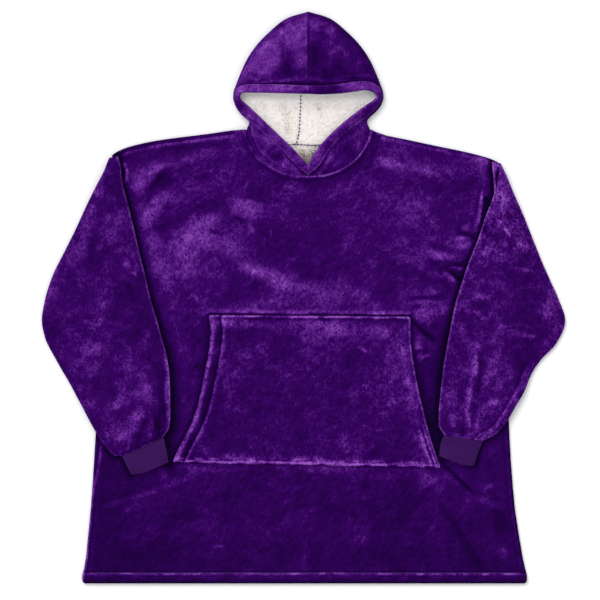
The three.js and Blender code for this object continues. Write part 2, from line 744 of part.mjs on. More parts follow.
// The turned edge round the face opening, one half: rounded bars from the throat to the top seam.
function hoodBand(side) {
  const corners = 12;
  const rings = ROW_STEPS.map((row) => {
    const at = (r) => {
      const [inA, inY, inZ] = [hood.inA(r), hood.inY(r), hood.inZ(r)];
      const [outA, outY, outZ] = [hood.outA(r), hood.outY(r), hood.outZ(r)];
      return {
        inner: new THREE.Vector3(inA + side * faceShift(inY), inY, inZ),
        outer: new THREE.Vector3(outA + side * faceShift(outY), outY, outZ),
      };
    };
    const here = at(row);
    const [before, after] = [at(Math.max(row - 0.5, 0)), at(Math.min(row + 0.5, HOOD_ROWS))];
    const along = after.inner.clone().add(after.outer).sub(before.inner).sub(before.outer);
    const across = here.inner.clone().sub(here.outer).multiplyScalar(0.5);
    const middle = here.inner.clone().add(here.outer).multiplyScalar(0.5);
    const isEnd = row === 0 || row === HOOD_ROWS;
    const up = isEnd ? new THREE.Vector3(0, 0, 1) : along.clone().cross(across).normalize();
    if (up.z < 0) up.negate();
    return Array.from({ length: corners }, (_, k) => {
      const angle = (2 * Math.PI * (k + 0.5)) / corners;
      const [c, s] = [Math.cos(angle), Math.sin(angle)];
      const round = (value) => Math.sign(value) * Math.abs(value) ** 0.75;
      const point = middle
        .clone()
        .addScaledVector(across, round(c))
        .addScaledVector(up, (round(s) * BAND_THICKNESS) / 2);
      const a = isEnd ? SEAM / 2 : Math.max(point.x, SEAM / 2);
      return [HOOD_X + side * a, point.y, point.z];
    });
  });
  return barThrough(rings);
}

const garment = new THREE.Group();
garment.add(piece("front_panel", frontPanel(), "fleece"));
garment.add(piece("back_panel", backPanel(), "fleece"));
garment.add(piece("neck_lining", neckLining(), "sherpa"));
garment.add(piece("pocket", pocket(), "fleece"));
for (const [name, side] of [
  ["left", -1],
  ["right", 1],
]) {
  garment.add(piece(`sleeve_${name}`, sleeve(name), "fleece"));
  garment.add(piece(`cuff_${name}`, cuff(name), "rib"));
  garment.add(piece(`hood_${name}`, hoodShell(side, 0, FLEECE), "fleece"));
  garment.add(piece(`hood_lining_${name}`, hoodShell(side, FLEECE + SEAM, WALL), "sherpa"));
  garment.add(piece(`hood_band_${name}`, hoodBand(side), "band"));
}

export default garment;
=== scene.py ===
"""The looks of a wearable blanket that is laid flat: plush fleece outside, sherpa inside, rib cuffs.

Lengths are in millimetres, like the tables of the garment's cut, and MM turns them into metres in a mesh.
Left and right are as seen from above, with the hood at the top.
"""

import math
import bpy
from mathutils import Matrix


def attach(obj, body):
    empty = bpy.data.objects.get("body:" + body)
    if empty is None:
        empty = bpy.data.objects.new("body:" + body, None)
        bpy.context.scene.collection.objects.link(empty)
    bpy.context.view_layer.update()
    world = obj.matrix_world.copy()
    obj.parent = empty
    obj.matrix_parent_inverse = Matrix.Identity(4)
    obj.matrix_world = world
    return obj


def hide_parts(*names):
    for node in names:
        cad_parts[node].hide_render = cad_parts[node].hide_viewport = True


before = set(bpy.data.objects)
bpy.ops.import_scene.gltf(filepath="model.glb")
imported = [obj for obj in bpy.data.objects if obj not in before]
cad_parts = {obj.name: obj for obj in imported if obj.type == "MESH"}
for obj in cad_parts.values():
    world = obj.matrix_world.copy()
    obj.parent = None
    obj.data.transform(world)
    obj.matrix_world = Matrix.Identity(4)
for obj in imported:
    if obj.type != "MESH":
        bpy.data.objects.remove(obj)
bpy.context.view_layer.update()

from types import SimpleNamespace

import bmesh
import bpy
import numpy as np

MM = 0.001

# Thickness of the body's cloth, the hood's outer cloth and the cuffs' rib, and the gap at a seam
WALL = 4.5
FLEECE = 2.0
CUFF_WALL = 2.4
SEAM = 0.3

# The turned hem, how far the front's middle stands up, and the radius of rounded edges
HEM_DEPTH = 20.0
HEM_RISE = 2.5
LOFT = 1.5
EDGE_ROUND = 4.0

# The hem's place, the middle of the neck and hood, a little to the right of the body's, half the neck's
# width, where its corners lie, and how far the edges on both sides stay off the neckline
HEM_Y = -572.0
HOOD_X = 9.5
NECK_HALF = 123.5
NECK_Y = 336.0
NECK_GAP = 0.06

# The panels' rows are level from the hem up to here, and bend up to the shoulders above it
SHOULDER_ROW_Y = 150.0
LEVEL_PART = SHOULDER_ROW_Y - HEM_Y

# A wall's hidden face keeps every COARSE-th row and column of its shown one
COARSE = 4

# Where the main light comes from, seen from above and anticlockwise from the right
KEY_AZIMUTH = 125

# Heights of the layers that lie on each other
FRONT_BOTTOM = WALL + SEAM
FRONT_TOP = FRONT_BOTTOM + WALL
OVER_BODY = FRONT_TOP + SEAM


# Helpers for tables, curves and noise

# Cells across the noise's lattice, and how far a fold runs out past its ends and tapers, as a share of it
LATTICE = 128
RUN_OUT = 0.25


def table(names, rows):
    """Lines of numbers as one array for each named column."""
    values = [[float(value) for value in row.split()] for row in rows.strip().splitlines()]
    return dict(zip(names.split(), np.array(values).T))


def lerp(a, b, t):
    """The value a share t of the way from a to b."""
    return a + (b - a) * t


def smoothstep(value, low, high):
    """From 0 at low to 1 at high, level at both ends."""
    t = np.clip((value - low) / (high - low), 0, 1)
    return t * t * (3 - 2 * t)


def bell(value, width):
    """A bump of height 1 at 0, which is gone by about twice its width."""
    return np.exp(-((value / width) ** 2))


def smooth_curve(x, y):
    """A smooth curve through points that never overshoots them."""
    order = np.argsort(x)
    x, y = x[order], y[order]
    step = np.diff(x)
    slope = np.diff(y) / step
    before, after = slope[:-1], slope[1:]
    same_way = before * after > 0
    tangent = np.concatenate([slope[:1], np.zeros(len(x) - 2), slope[-1:]])
    tangent[1:-1][same_way] = 2 * (before * after)[same_way] / (before + after)[same_way]

    def at(value):
        value = np.clip(value, x[0], x[-1])
        i = np.clip(np.searchsorted(x, value, side="right") - 1, 0, len(x) - 2)
        t = (value - x[i]) / step[i]
        rise = step[i] * (t * (1 - t) ** 2 * tangent[i] - t * t * (1 - t) * tangent[i + 1])
        return lerp(y[i], y[i + 1], t * t * (3 - 2 * t)) + rise

    return at


def curves(rows):
    """Every column of a table as a curve of its first one."""
    first, *others = rows
    return SimpleNamespace(**{name: smooth_curve(rows[first], rows[name]) for name in others})


def noise(x, y, cell, seed):
    """Smooth noise from -1 to 1 over the plane, in lumps of about one cell. Each use has its own seed."""
    lattice = np.random.default_rng(seed).random((LATTICE, LATTICE)) * 2 - 1
    gx, gy = np.asarray(x) / cell, np.asarray(y) / cell
    ix, iy = np.floor(gx).astype(int), np.floor(gy).astype(int)
    tx, ty = smoothstep(gx - ix, 0, 1), smoothstep(gy - iy, 0, 1)

    def node(i, j):
        return lattice[(ix + i) % LATTICE, (iy + j) % LATTICE]

    return lerp(lerp(node(0, 0), node(1, 0), tx), lerp(node(0, 1), node(1, 1), tx), ty)


def cloud(x, y, cell, seed, octaves=4):
    """Noise with finer and fainter lumps added to it."""
    total = 0
    for k in range(octaves):
        total = total + noise(x, y, cell / 2**k, seed + k) / 2**k
    return total / 1.5


def distance_to(x, y, line):
    """Distance in plan of points from a line of points that are close together."""
    nearest = np.full(np.shape(x), 1e9)
    for lx, ly in line:
        nearest = np.minimum(nearest, np.hypot(x - lx, y - ly))
    return nearest


def folds_at(x, y, rows):
    """Height of a table's folds at points in plan. Each is a soft ridge, or a trough where it is below 0."""
    total = np.zeros_like(x)
    for x0, y0, x1, y1, width, height in zip(*rows.values()):
        dx, dy = x1 - x0, y1 - y0
        along = ((x - x0) * dx + (y - y0) * dy) / (dx * dx + dy * dy)
        held = np.clip(along, -RUN_OUT, 1 + RUN_OUT)
        wander = noise(x, y, 45, 11) * width * 0.35
        off = np.hypot(x - x0 - held * dx, y - y0 - held * dy) + wander
        taper = smoothstep(along, -RUN_OUT, RUN_OUT) * (1 - smoothstep(along, 1 - RUN_OUT, 1 + RUN_OUT))
        total += height * taper * bell(off, width)
    return total


# Meshes


def grid_faces(rows, columns, first=0):
    """Four-sided faces over a grid of points, which starts at index first."""
    i, j = np.meshgrid(np.arange(rows - 1), np.arange(columns - 1), indexing="ij")
    a = first + (i * columns + j).ravel()
    return np.stack([a, a + 1, a + columns + 1, a + columns], axis=1).tolist()


def rim_of(rows, columns, first=0):
    """Indices round the edge of a grid, in order."""
    top = [(0, j) for j in range(columns)]
    side = [(i, columns - 1) for i in range(1, rows)]
    bottom = [(rows - 1, j) for j in range(columns - 2, -1, -1)]
    back = [(i, 0) for i in range(rows - 2, 0, -1)]
    return [first + i * columns + j for i, j in top + side + bottom + back]


def shell(fine, coarse):
    """Points and faces of a closed wall from its shown face and its hidden one, which has fewer points."""
    rows, columns = fine.shape[:2]
    few_rows, few_columns = coarse.shape[:2]
    first = rows * columns
    faces = grid_faces(rows, columns)
    faces += [face[::-1] for face in grid_faces(few_rows, few_columns, first)]
    outer, inner = rim_of(rows, columns), rim_of(few_rows, few_columns, first)
    for k, here in enumerate(inner):
        after = inner[(k + 1) % len(inner)]
        run = [outer[(k * COARSE + m) % len(outer)] for m in range(COARSE + 1)]
        middle = COARSE // 2
        faces += [[here, run[m + 1], run[m]] for m in range(middle)]
        faces.append([here, after, run[middle]])
        faces += [[after, run[m + 1], run[m]] for m in range(middle, COARSE)]
    return np.concatenate([fine.reshape(-1, 3), coarse.reshape(-1, 3)]), faces


def tube(rings, looped=False):
    """Points and faces of a bar through rings of points. If looped, its last ring joins its first."""
    rows, size = rings.shape[:2]
    faces = []
    for i in range(rows if looped else rows - 1):
        for j in range(size):
            k, below = (j + 1) % size, (i + 1) % rows * size
            faces.append([i * size + j, i * size + k, below + k, below + j])
    if not looped:
        faces.append(list(range(size))[::-1])
        faces.append([(rows - 1) * size + j for j in range(size)])
    return rings.reshape(-1, 3), faces


# Faces that meet at more than this many degrees keep a sharp edge
SHARP_ANGLE = 65


def piece(name, points, faces, material, slot, node=None, **values):
    """A piece of the garment as an object, with values for each point that its material reads."""
    mesh = bpy.data.meshes.new(name)
    mesh.from_pydata((points * MM).tolist(), [], faces)
    mesh.validate()
    work = bmesh.new()
    work.from_mesh(mesh)
    bmesh.ops.recalc_face_normals(work, faces=work.faces)
    work.to_mesh(mesh)
    work.free()
    mesh.shade_smooth()
    mesh.set_sharp_from_angle(angle=math.radians(SHARP_ANGLE))
    mesh.materials.append(material)
    for key, value in values.items():
        mesh.attributes.new(key, "FLOAT", "POINT").data.foreach_set("value", np.asarray(value, np.float32))
    thing = bpy.data.objects.new(name, mesh)
    bpy.context.scene.collection.objects.link(thing)
    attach(thing, "root")
    if node:
        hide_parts(node)
    return thing


def spaced(*spans):
    """Values along a line, as (from, to, how many steps) spans that join."""
    parts = [np.linspace(a, b, steps, endpoint=False) for a, b, steps in spans]
    return np.concatenate([*parts, [spans[-1][1]]])


# Materials


class Nodes:
    """A material's nodes, made and linked in short calls."""

    def __init__(self, name):
        self.material = bpy.data.materials.new(name)
        self.material.use_nodes = True
        self.tree = self.material.node_tree
        self.shader = self.tree.nodes["Principled BSDF"]

    def add(self, kind, **settings):
        node = self.tree.nodes.new(f"ShaderNode{kind}")
        for key, value in settings.items():
            if key in node.inputs:
                node.inputs[key].default_value = value
            else:
                setattr(node, key.lower(), value)
        return node

    def link(self, source, target, into):
        self.tree.links.new(source, target.inputs[into])

    def noise(self, scale, detail=3, roughness=0.55, stretch=(1, 1, 1), turn=0, distortion=0.0):
        """Noise over the object's own coordinates, as a value from 0 to 1."""
        place = self.add("TexCoord")
        mapping = self.add("Mapping", Scale=stretch, Rotation=(0, 0, math.radians(turn)))
        self.link(place.outputs["Object"], mapping, "Vector")
        texture = self.add("TexNoise", Scale=scale, Detail=detail, Roughness=roughness, Distortion=distortion)
        self.link(mapping.outputs["Vector"], texture, "Vector")
        return texture.outputs["Fac"]

    def value(self, name):
        return self.add("Attribute", attribute_name=name).outputs["Fac"]

    def maths(self, operation, a, b):
        node = self.add("Math", operation=operation)
        for into, source in enumerate((a, b)):
            if isinstance(source, (int, float)):
                node.inputs[into].default_value = source
            else:
                self.link(source, node, into)
        return node.outputs[0]

    def plus(self, a, b):
        return self.maths("ADD", a, b)

    def minus(self, a, b):
        return self.maths("SUBTRACT", a, b)

    def times(self, a, b):
        return self.maths("MULTIPLY", a, b)

    def at_least(self, a, b):
        return self.maths("MAXIMUM", a, b)

    def centred(self, source):
        return self.minus(source, 0.5)

    def strokes(self, source, where):
        """Thin curled strokes where one noise crosses its middle, kept only where the other one is high."""
        away = self.maths("ABSOLUTE", self.centred(source), 0)
        line = self.at_least(self.minus(1, self.times(away, 9)), 0)
        kept = self.at_least(self.plus(self.times(self.centred(where), 3), 0.4), 0)
        return self.times(line, self.maths("MINIMUM", kept, 1))

    def ramp(self, source, *stops):
        """A colour ramp with (place, sRGB colour from 0 to 255) stops."""
        node = self.add("ValToRGB")
        elements = node.color_ramp.elements
        while len(elements) < len(stops):
            elements.new(0.5)
        for element, (place, colour) in zip(elements, stops):
            element.position = place
            element.color = (*[linear(c) for c in colour], 1)
        self.link(source, node, "Fac")
        return node.outputs["Color"]

    def bump(self, height, distance, strength=1.0):
        node = self.add("Bump", Strength=strength, Distance=distance)
        self.link(height, node, "Height")
        self.link(node.outputs["Normal"], self.shader, "Normal")

    def finish(self, colour, **settings):
        self.link(colour, self.shader, "Base Color")
        for key, value in settings.items():
            self.shader.inputs[key.replace("_", " ")].default_value = value
        return self.material


def linear(channel):
    """A channel from 0 to 255 as seen, as light."""
    c = channel / 255
    return c / 12.92 if c <= 0.04045 else ((c + 0.055) / 1.055) ** 2.4


def fleece(name, deep, dark, middle, light, bright, fleck=1.0):
    """Plush fleece. Its pile lies this way and that, so it shows painted sheen and shade in patches, and
    painted glints in strokes.
    """
    made = Nodes(name)
    nap = made.value("nap")
    flecks = made.centred(made.noise(300, 4, 0.65, stretch=(1, 0.6, 1), turn=25))
    tufts = made.centred(made.noise(110, 3, 0.6, stretch=(1, 0.7, 1), turn=-20))
    strokes = made.strokes(made.noise(95, 3, 0.6, distortion=1.2), made.noise(45, 2))
    more_strokes = made.strokes(made.noise(150, 2, 0.6, distortion=0.8, turn=70), made.noise(38, 2, turn=40))
    ruffle = made.value("ruffle")
    # Painted glints where single tufts of pile catch the light: fine flecks both lighter and darker than the
    # pile round them, and lighter curled strokes, stronger where the pile is lighter
    fleck_glints = made.plus(made.times(flecks, 1.15 * fleck), made.times(tufts, 0.45 * fleck))
    curls = made.times(made.plus(strokes, more_strokes), 0.42 * fleck)
    amount = made.at_least(made.minus(made.times(nap, 2), 0.15), 0.12)
    amount = made.times(amount, ruffle)
    shade = made.plus(nap, made.times(amount, made.plus(fleck_glints, curls)))
    colour = made.ramp(shade, (0.0, deep), (0.2, dark), (0.36, middle), (0.62, light), (1.0, bright))
    pile = made.plus(made.noise(900, 2), made.times(made.plus(flecks, curls), 1.5))
    made.bump(pile, 0.0012, 0.6)
    return made.finish(
        colour,
        Roughness=0.85,
        Specular_IOR_Level=0.02,
        Sheen_Weight=0.08,
        Sheen_Roughness=0.3,
        Sheen_Tint=(0.45, 0.16, 0.75, 1),
    )


def sherpa(name, deep, middle, bright):
    """Sherpa: clumps of curly off-white pile, with painted shade between the clumps and in its folds."""
    made = Nodes(name)
    curls = made.noise(420, 4, 0.7)
    shade = made.plus(made.value("nap"), made.times(made.centred(curls), 0.5))
    colour = made.ramp(shade, (0.0, deep), (0.35, middle), (0.8, bright))
    made.bump(made.plus(curls, made.noise(1300, 2)), 0.0012, 0.5)
    return made.finish(colour, Roughness=0.9, Specular_IOR_Level=0.1, Sheen_Weight=0.2, Sheen_Roughness=0.5)


def rib_knit(name, deep, bright):
    """Matte rib knit, with fine stitches over the ribs' own form."""
    made = Nodes(name)
    yarn = made.noise(1500, 2)
    shade = made.plus(made.value("nap"), made.times(yarn, 0.4))
    colour = made.ramp(shade, (0.1, deep), (1, bright))
    made.bump(yarn, 0.0006, 0.6)
    return made.finish(colour, Roughness=0.9, Specular_IOR_Level=0.05, Sheen_Weight=0.05, Sheen_Roughness=0.5)


def thread(name, colour):
    """Twisted sewing thread, with painted shade between its turns."""
    made = Nodes(name)
    twist = made.noise(2500, 1)
    darker = [c * 0.6 for c in colour]
    made.bump(twist, 0.0003, 0.5)
    return made.finish(made.ramp(twist, (0.3, darker), (0.7, colour)), Roughness=0.6)


VIOLETS = (8, 0, 26), (36, 0, 70), (54, 3, 93), (98, 38, 138), (146, 84, 182)
VIOLET = fleece("violet_fleece", *VIOLETS)
VIOLET_BAND = fleece("violet_fleece_band", *VIOLETS, 0.9)
CREAM = sherpa("cream_sherpa", (112, 102, 98), (222, 215, 209), (250, 248, 245))
RIB = rib_knit("violet_rib", (34, 2, 60), (60, 22, 90))
SEAM_THREAD = thread("violet_thread", (112, 58, 150))
OVERLOCK_THREAD = thread("overlock_thread", (104, 50, 156))


# Outline of the body as laid, seen from above

SIDES = curves(
    table(
        "y left right",
        f"""
        285 -383 388
        150 -390 396
        10 -398 403
        -275 -416 412
        -413 -425 422
        -475 -431 431
        -533 -437 441
        -560 -443 447
        -568 -442.5 446.5
        {HEM_Y} -438 442
        """,
    )
)
SHOULDERS = table(
    "x y",
    f"""
    -386 281
    -376 290
    -347 302
    -293 314
    -201 326
    {HOOD_X - NECK_HALF} {NECK_Y}
    {HOOD_X + NECK_HALF} {NECK_Y}
    151 328
    211 315
    267 303
    325 291
    373 278
    391 270
    """,
)
SHOULDER_Y = smooth_curve(*SHOULDERS.values())
NECK = table(
    "across front back",
    f"""
    0 243 305
    30 246 306
    52 252 307
    74 263 310
    92 276 314
    106 292 319
    116 310 325
    121 324 330
    {NECK_HALF} {NECK_Y} {NECK_Y}
    """,
)
NECKLINES = curves(NECK)

# The sleeves leave the front free between these lines
COVERS = curves(
    table(
        "y left right",
        """
        285 -374 380
        230 -358 375
        125 -332 350
        0 -300 300
        -110 -270 276
        -210 -260 268
        -350 -258 268
        -420 -425 424
        """,
    )
)

# The front's folds, the large ones first
FRONT_FOLDS = table(
    "x0 y0 x1 y1 width height",
    """
    -335 236 -275 258 14 3
    -300 214 -190 232 14 -1.6
    -335 210 -270 60 22 3
    -255 190 -90 205 34 2.5
    -60 180 40 60 45 2
    150 250 340 245 24 2.5
    352 215 346 150 10 3.5
    180 150 318 60 26 2.5
    205 70 300 20 16 3.5
    208 -8 290 2 14 3.5
    220 -48 262 -98 9 -3
    -250 -30 -225 -140 26 2.5
    278 -352 372 -490 16 -3
    300 -345 400 -455 18 3
    -60 -380 -40 -520 34 1.8
    -250 -400 -330 -520 40 2.2
    90 -375 140 -530 30 1.8
    262 96 330 74 7 -2.6
    276 62 322 60 5 2.4
    272 52 312 28 5 -2.8
    214 -6 300 -2 6 -1.8
    226 -92 242 -108 7 2.2
    236 -112 246 -126 7 2.2
    276 -345 350 -415 6 -2.4
    350 -415 400 -500 7 -2.2
    -351 262 -349 236 5 3.0
    -300 205 -318 150 10 -1.8
    -150 120 -60 60 22 -1.5
    60 170 120 40 24 -1.4
    -205 -25 -240 30 12 -1.6
    0 -360 20 -430 14 -1.2
    180 -350 200 -440 16 1.4
    """,
)

# Where the brushed nap catches the light, as soft ellipses: place, radii, turn and strength
BODY_NAP = table(
    "x y rx ry turn strength",
    """
    -112 180 42 13 -8 0.44
    -114 164 20 13 0 0.33
    -183 157 38 17 12 0.28
    -215 138 38 24 35 0.16
    -239 90 36 46 0 0.4
    -185 112 64 34 0 0.26
    -140 110 36 30 0 0.2
    -303 113 12 22 -20 0.3
    -275 58 36 44 10 0.2
    -220 40 50 30 0 0.14
    -312 243 30 14 35 0.46
    -335 232 12 20 0 0.24
    -238 272 30 10 20 0.18
    -240 298 90 12 8 -0.2
    -241 238 16 14 0 0.24
    -296 182 32 18 35 0.38
    -312 160 12 16 -20 0.3
    -110 57 24 11 -15 0.4
    -75 44 32 14 -30 0.3
    -37 26 26 18 -25 0.48
    -60 -6 50 14 -8 0.22
    -217 -3 11 4 -25 0.45
    -130 -22 70 12 5 0.2
    -20 228 12 24 0 0.22
    60 225 30 34 0 0.16
    172 267 28 9 -10 0.38
    252 250 30 8 -26 0.32
    362 270 20 9 -14 0.44
    350 258 12 14 0 0.24
    228 178 30 42 10 0.24
    170 200 40 30 0 0.12
    322 143 10 9 0 0.36
    348 141 7 22 -6 0.4
    322 102 22 16 0 0.42
    262 92 38 13 -12 0.4
    185 120 34 16 -20 0.18
    120 0 54 16 -28 0.24
    40 6 60 18 -10 0.26
    254 -20 38 12 0 0.5
    246 -34 18 14 -30 0.32
    278 20 14 8 0 0.16
    -330 20 12 40 -12 0.16
    252 -362 20 16 -40 0.36
    -281 -359 9 11 0 0.28
    60 -345 160 9 -2 0.22
    -170 -345 60 8 0 0.16
    374 -377 15 8 0 0.34
    340 -410 40 40 0 0.1
    396 -512 14 11 -40 0.3
    -349 -423 24 9 20 0.14
    -189 -446 16 44 0 0.14
    -22 -440 22 16 0 0.16
    0 -515 8 28 0 0.22
    120 -470 30 50 0 0.08
    233 -105 6 4 10 0.7
    241 -121 9 5 35 0.7
    -375 255 12 5 70 0.3
    """,
)

# Painted highlights and shade on the pile at its small creases, as thin lines
BODY_MARKS = table(
    "x0 y0 x1 y1 width strength",
    """
    -139 162 -114 151 3 -0.17
    -112 149 -98 131 3 0.17
    -190 136 -165 126 3 -0.17
    -243 128 -226 133 3 -0.13
    -310 213 -282 249 3 -0.14
    -65 134 -65 122 2 0.2
    -360 270 -353 254 2.6 0.4
    -353 254 -354 238 2.6 0.4
    -354 238 -358 230 2.6 0.3
    -255 150 -300 128 9 -0.1
    -208 92 -180 84 10 -0.1
    -330 -16 -300 -22 3 0.1
    357 213 354 182 3 0.3
    354 182 350 150 3 0.28
    365 203 366 190 3.5 -0.36
    366 190 360 146 4 -0.36
    306 133 347 118 5 -0.16
    303 116 330 121 3 0.22
    255 68 327 65 6 -0.14
    293 60 321 58 3 0.28
    278 54 304 33 4 0.22
    297 51 316 31 4 -0.24
    221 -8 283 -9 4 0.12
    216 -46 261 -86 4 -0.26
    276 -330 342 -394 3.5 -0.2
    273 -408 357 -545 8 -0.09
    -189 -497 -160 -497 2 0.14
    -60 -470 -52 -500 5 -0.05
    """,
)
# Painted sheen of the pocket's brushed pile, as soft ellipses: place, radii, turn and strength
POCKET_NAP = table(
    "x y rx ry turn strength",
    """
    -160 -52 20 10 0 0.44
    -120 -52 40 9 0 0.24
    -40 -52 90 9 0 0.22
    60 -62 50 16 -4 0.28
    130 -66 60 16 -4 0.16
    163 -74 14 9 -40 0.32
    122 -103 12 5 -20 0.34
    -162 -104 12 7 30 0.34
    40 -90 60 30 -10 0.12
    180 -110 34 26 -40 0.22
    212 -180 16 60 12 0.26
    176 -205 40 60 0 0.08
    150 -200 50 60 0 0.1
    -160 -140 20 60 14 0.22
    -100 -110 40 30 20 0.18
    80 -280 60 40 0 0.12
    240 -300 14 30 15 0.34
    -215 -250 10 60 20 0.3
    40 -330 200 9 -2 0.34
    -110 -334 80 7 0 0.3
    """,
)


# How strongly the placed patches count, how far their edges wander, and the darkest the nap gets by itself
PATCH_STRENGTH = 0.47
PATCH_WANDER = 8
DARKEST_NAP = 0.1

# How much a slope towards or away from the main light changes the nap, and how soon
SLOPE_SHADE = 0.14
SLOPE_GAIN = 5


def nap_at(x, y, patches, base, ground=0.035):
    """How light the pile looks at points in plan, from 0 to 1: placed patches of painted sheen and shade,
    broken up, over clouds of uneven tone.
    """
    wx, wy = x + PATCH_WANDER * cloud(x, y, 32, 31), y + PATCH_WANDER * cloud(x, y, 32, 37)
    light = np.zeros_like(x)
    for px, py, rx, ry, turn, strength in zip(*patches.values()):
        c, s = math.cos(math.radians(turn)), math.sin(math.radians(turn))
        u, v = (wx - px) * c + (wy - py) * s, (wy - py) * c - (wx - px) * s
        light += PATCH_STRENGTH * strength * np.exp(-((u / rx) ** 2) - (v / ry) ** 2)
    uneven = 1 + 0.18 * cloud(x, y, 20, 41)
    nap = base + light * uneven + ground * cloud(x, y, 90, 43) + 0.7 * ground * cloud(x, y, 14, 47)
    return np.maximum(nap, DARKEST_NAP)


def normals_of(grid):
    """Unit normals over a grid of points, all on the upper side."""
    down, across = np.gradient(grid, axis=0), np.gradient(grid, axis=1)
    n = np.cross(down, across)
    n = n * np.where(n[..., 2:] < 0, -1, 1)
    return n / np.maximum(np.linalg.norm(n, axis=-1, keepdims=True), 1e-9)


def facing(grid):
    """How much lighter pile looks on slopes that face the main light, and darker on those that face away."""
    angle = math.radians(KEY_AZIMUTH)
    n = normals_of(grid)
    return SLOPE_SHADE * np.tanh(SLOPE_GAIN * (n[..., 0] * math.cos(angle) + n[..., 1] * math.sin(angle)))


def with_hidden(shown, points, hidden=0.2):
    """Values for a shell's points: those of its shown face, and one value for all on its hidden face."""
    return np.concatenate([shown.ravel(), np.full(len(points) - shown.size, hidden)])


def wall_piece(name, node, fine, coarse, material, slot, nap, ruffle=None, hidden_ruffle=0.2):
    """A piece that is a closed wall, with its tone, painted light and shade, and ruffle given over its shown
    face.
    """
    points, faces = shell(fine, coarse)
    values = {"nap": with_hidden(nap, points)}
    if ruffle is not None:
        values["ruffle"] = with_hidden(ruffle + 0 * nap, points, hidden_ruffle)
    return piece(name, points, faces, material, slot, node, **values)


def broken(x, y, cell, seed, low=0.1):
    """A share from 0 to 1 that comes and goes along a line of stitches."""
    return np.clip(low + 0.9 * (0.5 + noise(x, y, cell, seed)), 0, 1)


# Front and back panels


def top_of(panel, x):
    """Upper end of the front or back panel."""
    across = np.abs(x - HOOD_X)
    return np.where(across < NECK_HALF, getattr(NECKLINES, panel)(across) - NECK_GAP, SHOULDER_Y(x))


def from_neckline(x, y):
    """Distance of points from the front neckline."""
    across = NECK_HALF * np.sin(np.linspace(-math.pi / 2, math.pi / 2, 121))
    return distance_to(x, y, zip(across + HOOD_X, NECKLINES.front(np.abs(across))))


POCKET_SIDES = curves(
    table(
        "t left right",
        """
        0 -263 275
        0.1 -250 264
        0.22 -231 252
        0.35 -215 242
        0.47 -206 233
        0.62 -197 224
        0.77 -189 217
        0.9 -186 214
        1 -190 214
        """,
    )
)
POCKET_BOTTOM = SimpleNamespace(left=-331, right=-341)
POCKET_TOP = SimpleNamespace(left=-35, right=-38)
POCKET_MIDDLE = SimpleNamespace(bottom=-336, top=-37)
POCKET_TALL = POCKET_TOP.left - POCKET_BOTTOM.left
POCKET_TOP_WIDTH = 404

# The turned hem at the pocket's openings, its cloth's thickness, and how far it gapes there
POCKET_HEM = 22
POCKET_WALL = 3.5
POCKET_MOUTH = 2.4

# The shoulder's seam isn't drawn within this distance of the neckline. FAR is past the reach of any line.
SHOULDER_START = 24
FAR = 99


def under_shoulder(x, y, neck):
    """Distance of points below the shoulder's edge, given their distance from the neckline."""
    return np.where(neck > SHOULDER_START, SHOULDER_Y(x) - y, FAR)


def shoulder_seam(x):
    """How far below the shoulder's edge its seam lies."""
    return np.where(x > 0, 5.5, 9)


def up_pocket(y):
    """How far up the pocket's left side points lie, from 0 at its bottom to 1 at its top."""
    return (y - POCKET_BOTTOM.left) / POCKET_TALL


def under_pocket(x, y):
    """How far inside the pocket's outline points lie, from 0 at its edge to 1."""
    t = up_pocket(y)
    sides = np.minimum(x - POCKET_SIDES.left(t), POCKET_SIDES.right(t) - x)
    ends = np.minimum(y - POCKET_MIDDLE.bottom, POCKET_MIDDLE.top - y)
    return smoothstep(np.minimum(sides, ends), 0, 25)


def front_top(x, y, seams=True):
    """Height of the front panel's upper face."""
    in_from_sleeves = np.minimum(x - COVERS.left(y), COVERS.right(y) - x)
    free = smoothstep(in_from_sleeves, 6, 50)
    free = free * smoothstep(y - HEM_Y, 15, 90) * smoothstep(top_of("front", x) - y, 6, 60)
    bare = 1 - under_pocket(x, y)
    loft = LOFT + (folds_at(x, y, FRONT_FOLDS) + 0.9 * cloud(x, y, 75, 3, 3)) * bare
    height = FRONT_TOP + np.maximum(loft, 0) * free
    up = y - HEM_Y
    height = height + HEM_RISE * (1 - smoothstep(up, HEM_DEPTH - 3, HEM_DEPTH))
    if seams:
        height = height + seam_relief(x, y, free)
    return height


def seam_relief(x, y, free):
    """Stitched grooves and turned edges on the front, a little puckered."""
    pucker = noise(x, y, 7, 5)
    up = y - HEM_Y
    neck = from_neckline(x, y)
    relief = -(0.9 + 0.4 * pucker) * bell(up - HEM_DEPTH - 1, 1.7)
    relief += (0.8 + 0.5 * noise(x, y, 16, 6)) * bell(up - HEM_DEPTH / 2, 8)
    relief += 4 * bell(neck, 20) + (0.9 + 0.3 * pucker) * bell(neck - 4, 3)
    relief -= 1.2 * bell(under_shoulder(x, y, neck) - shoulder_seam(x), 3.5)
    side = np.minimum(x - SIDES.left(y), SIDES.right(y) - x)
    relief -= (0.9 + 0.3 * pucker) * bell(side - 9, 2.2)
    above_pocket, beside_pocket = pocket_distances(x, y)
    relief += (1.3 + 0.7 * noise(x, y, 10, 9)) * bell(above_pocket - 5, 3.5) * beside_pocket
    return relief + (0.2 * noise(x, y, 9, 7) + 0.2 * noise(x, y, 5, 8)) * (0.4 + 0.6 * free)


def pocket_distances(x, y):
    """How far above the pocket's upper edge points lie, and 1 where they are within its width."""
    edge = lerp(POCKET_TOP.left, POCKET_TOP.right, (x - POCKET_SIDES.left(1)) / POCKET_TOP_WIDTH)
    within = smoothstep(x - POCKET_SIDES.left(1), -4, 2) * smoothstep(POCKET_SIDES.right(1) - x, -4, 2)
    return y - edge, within


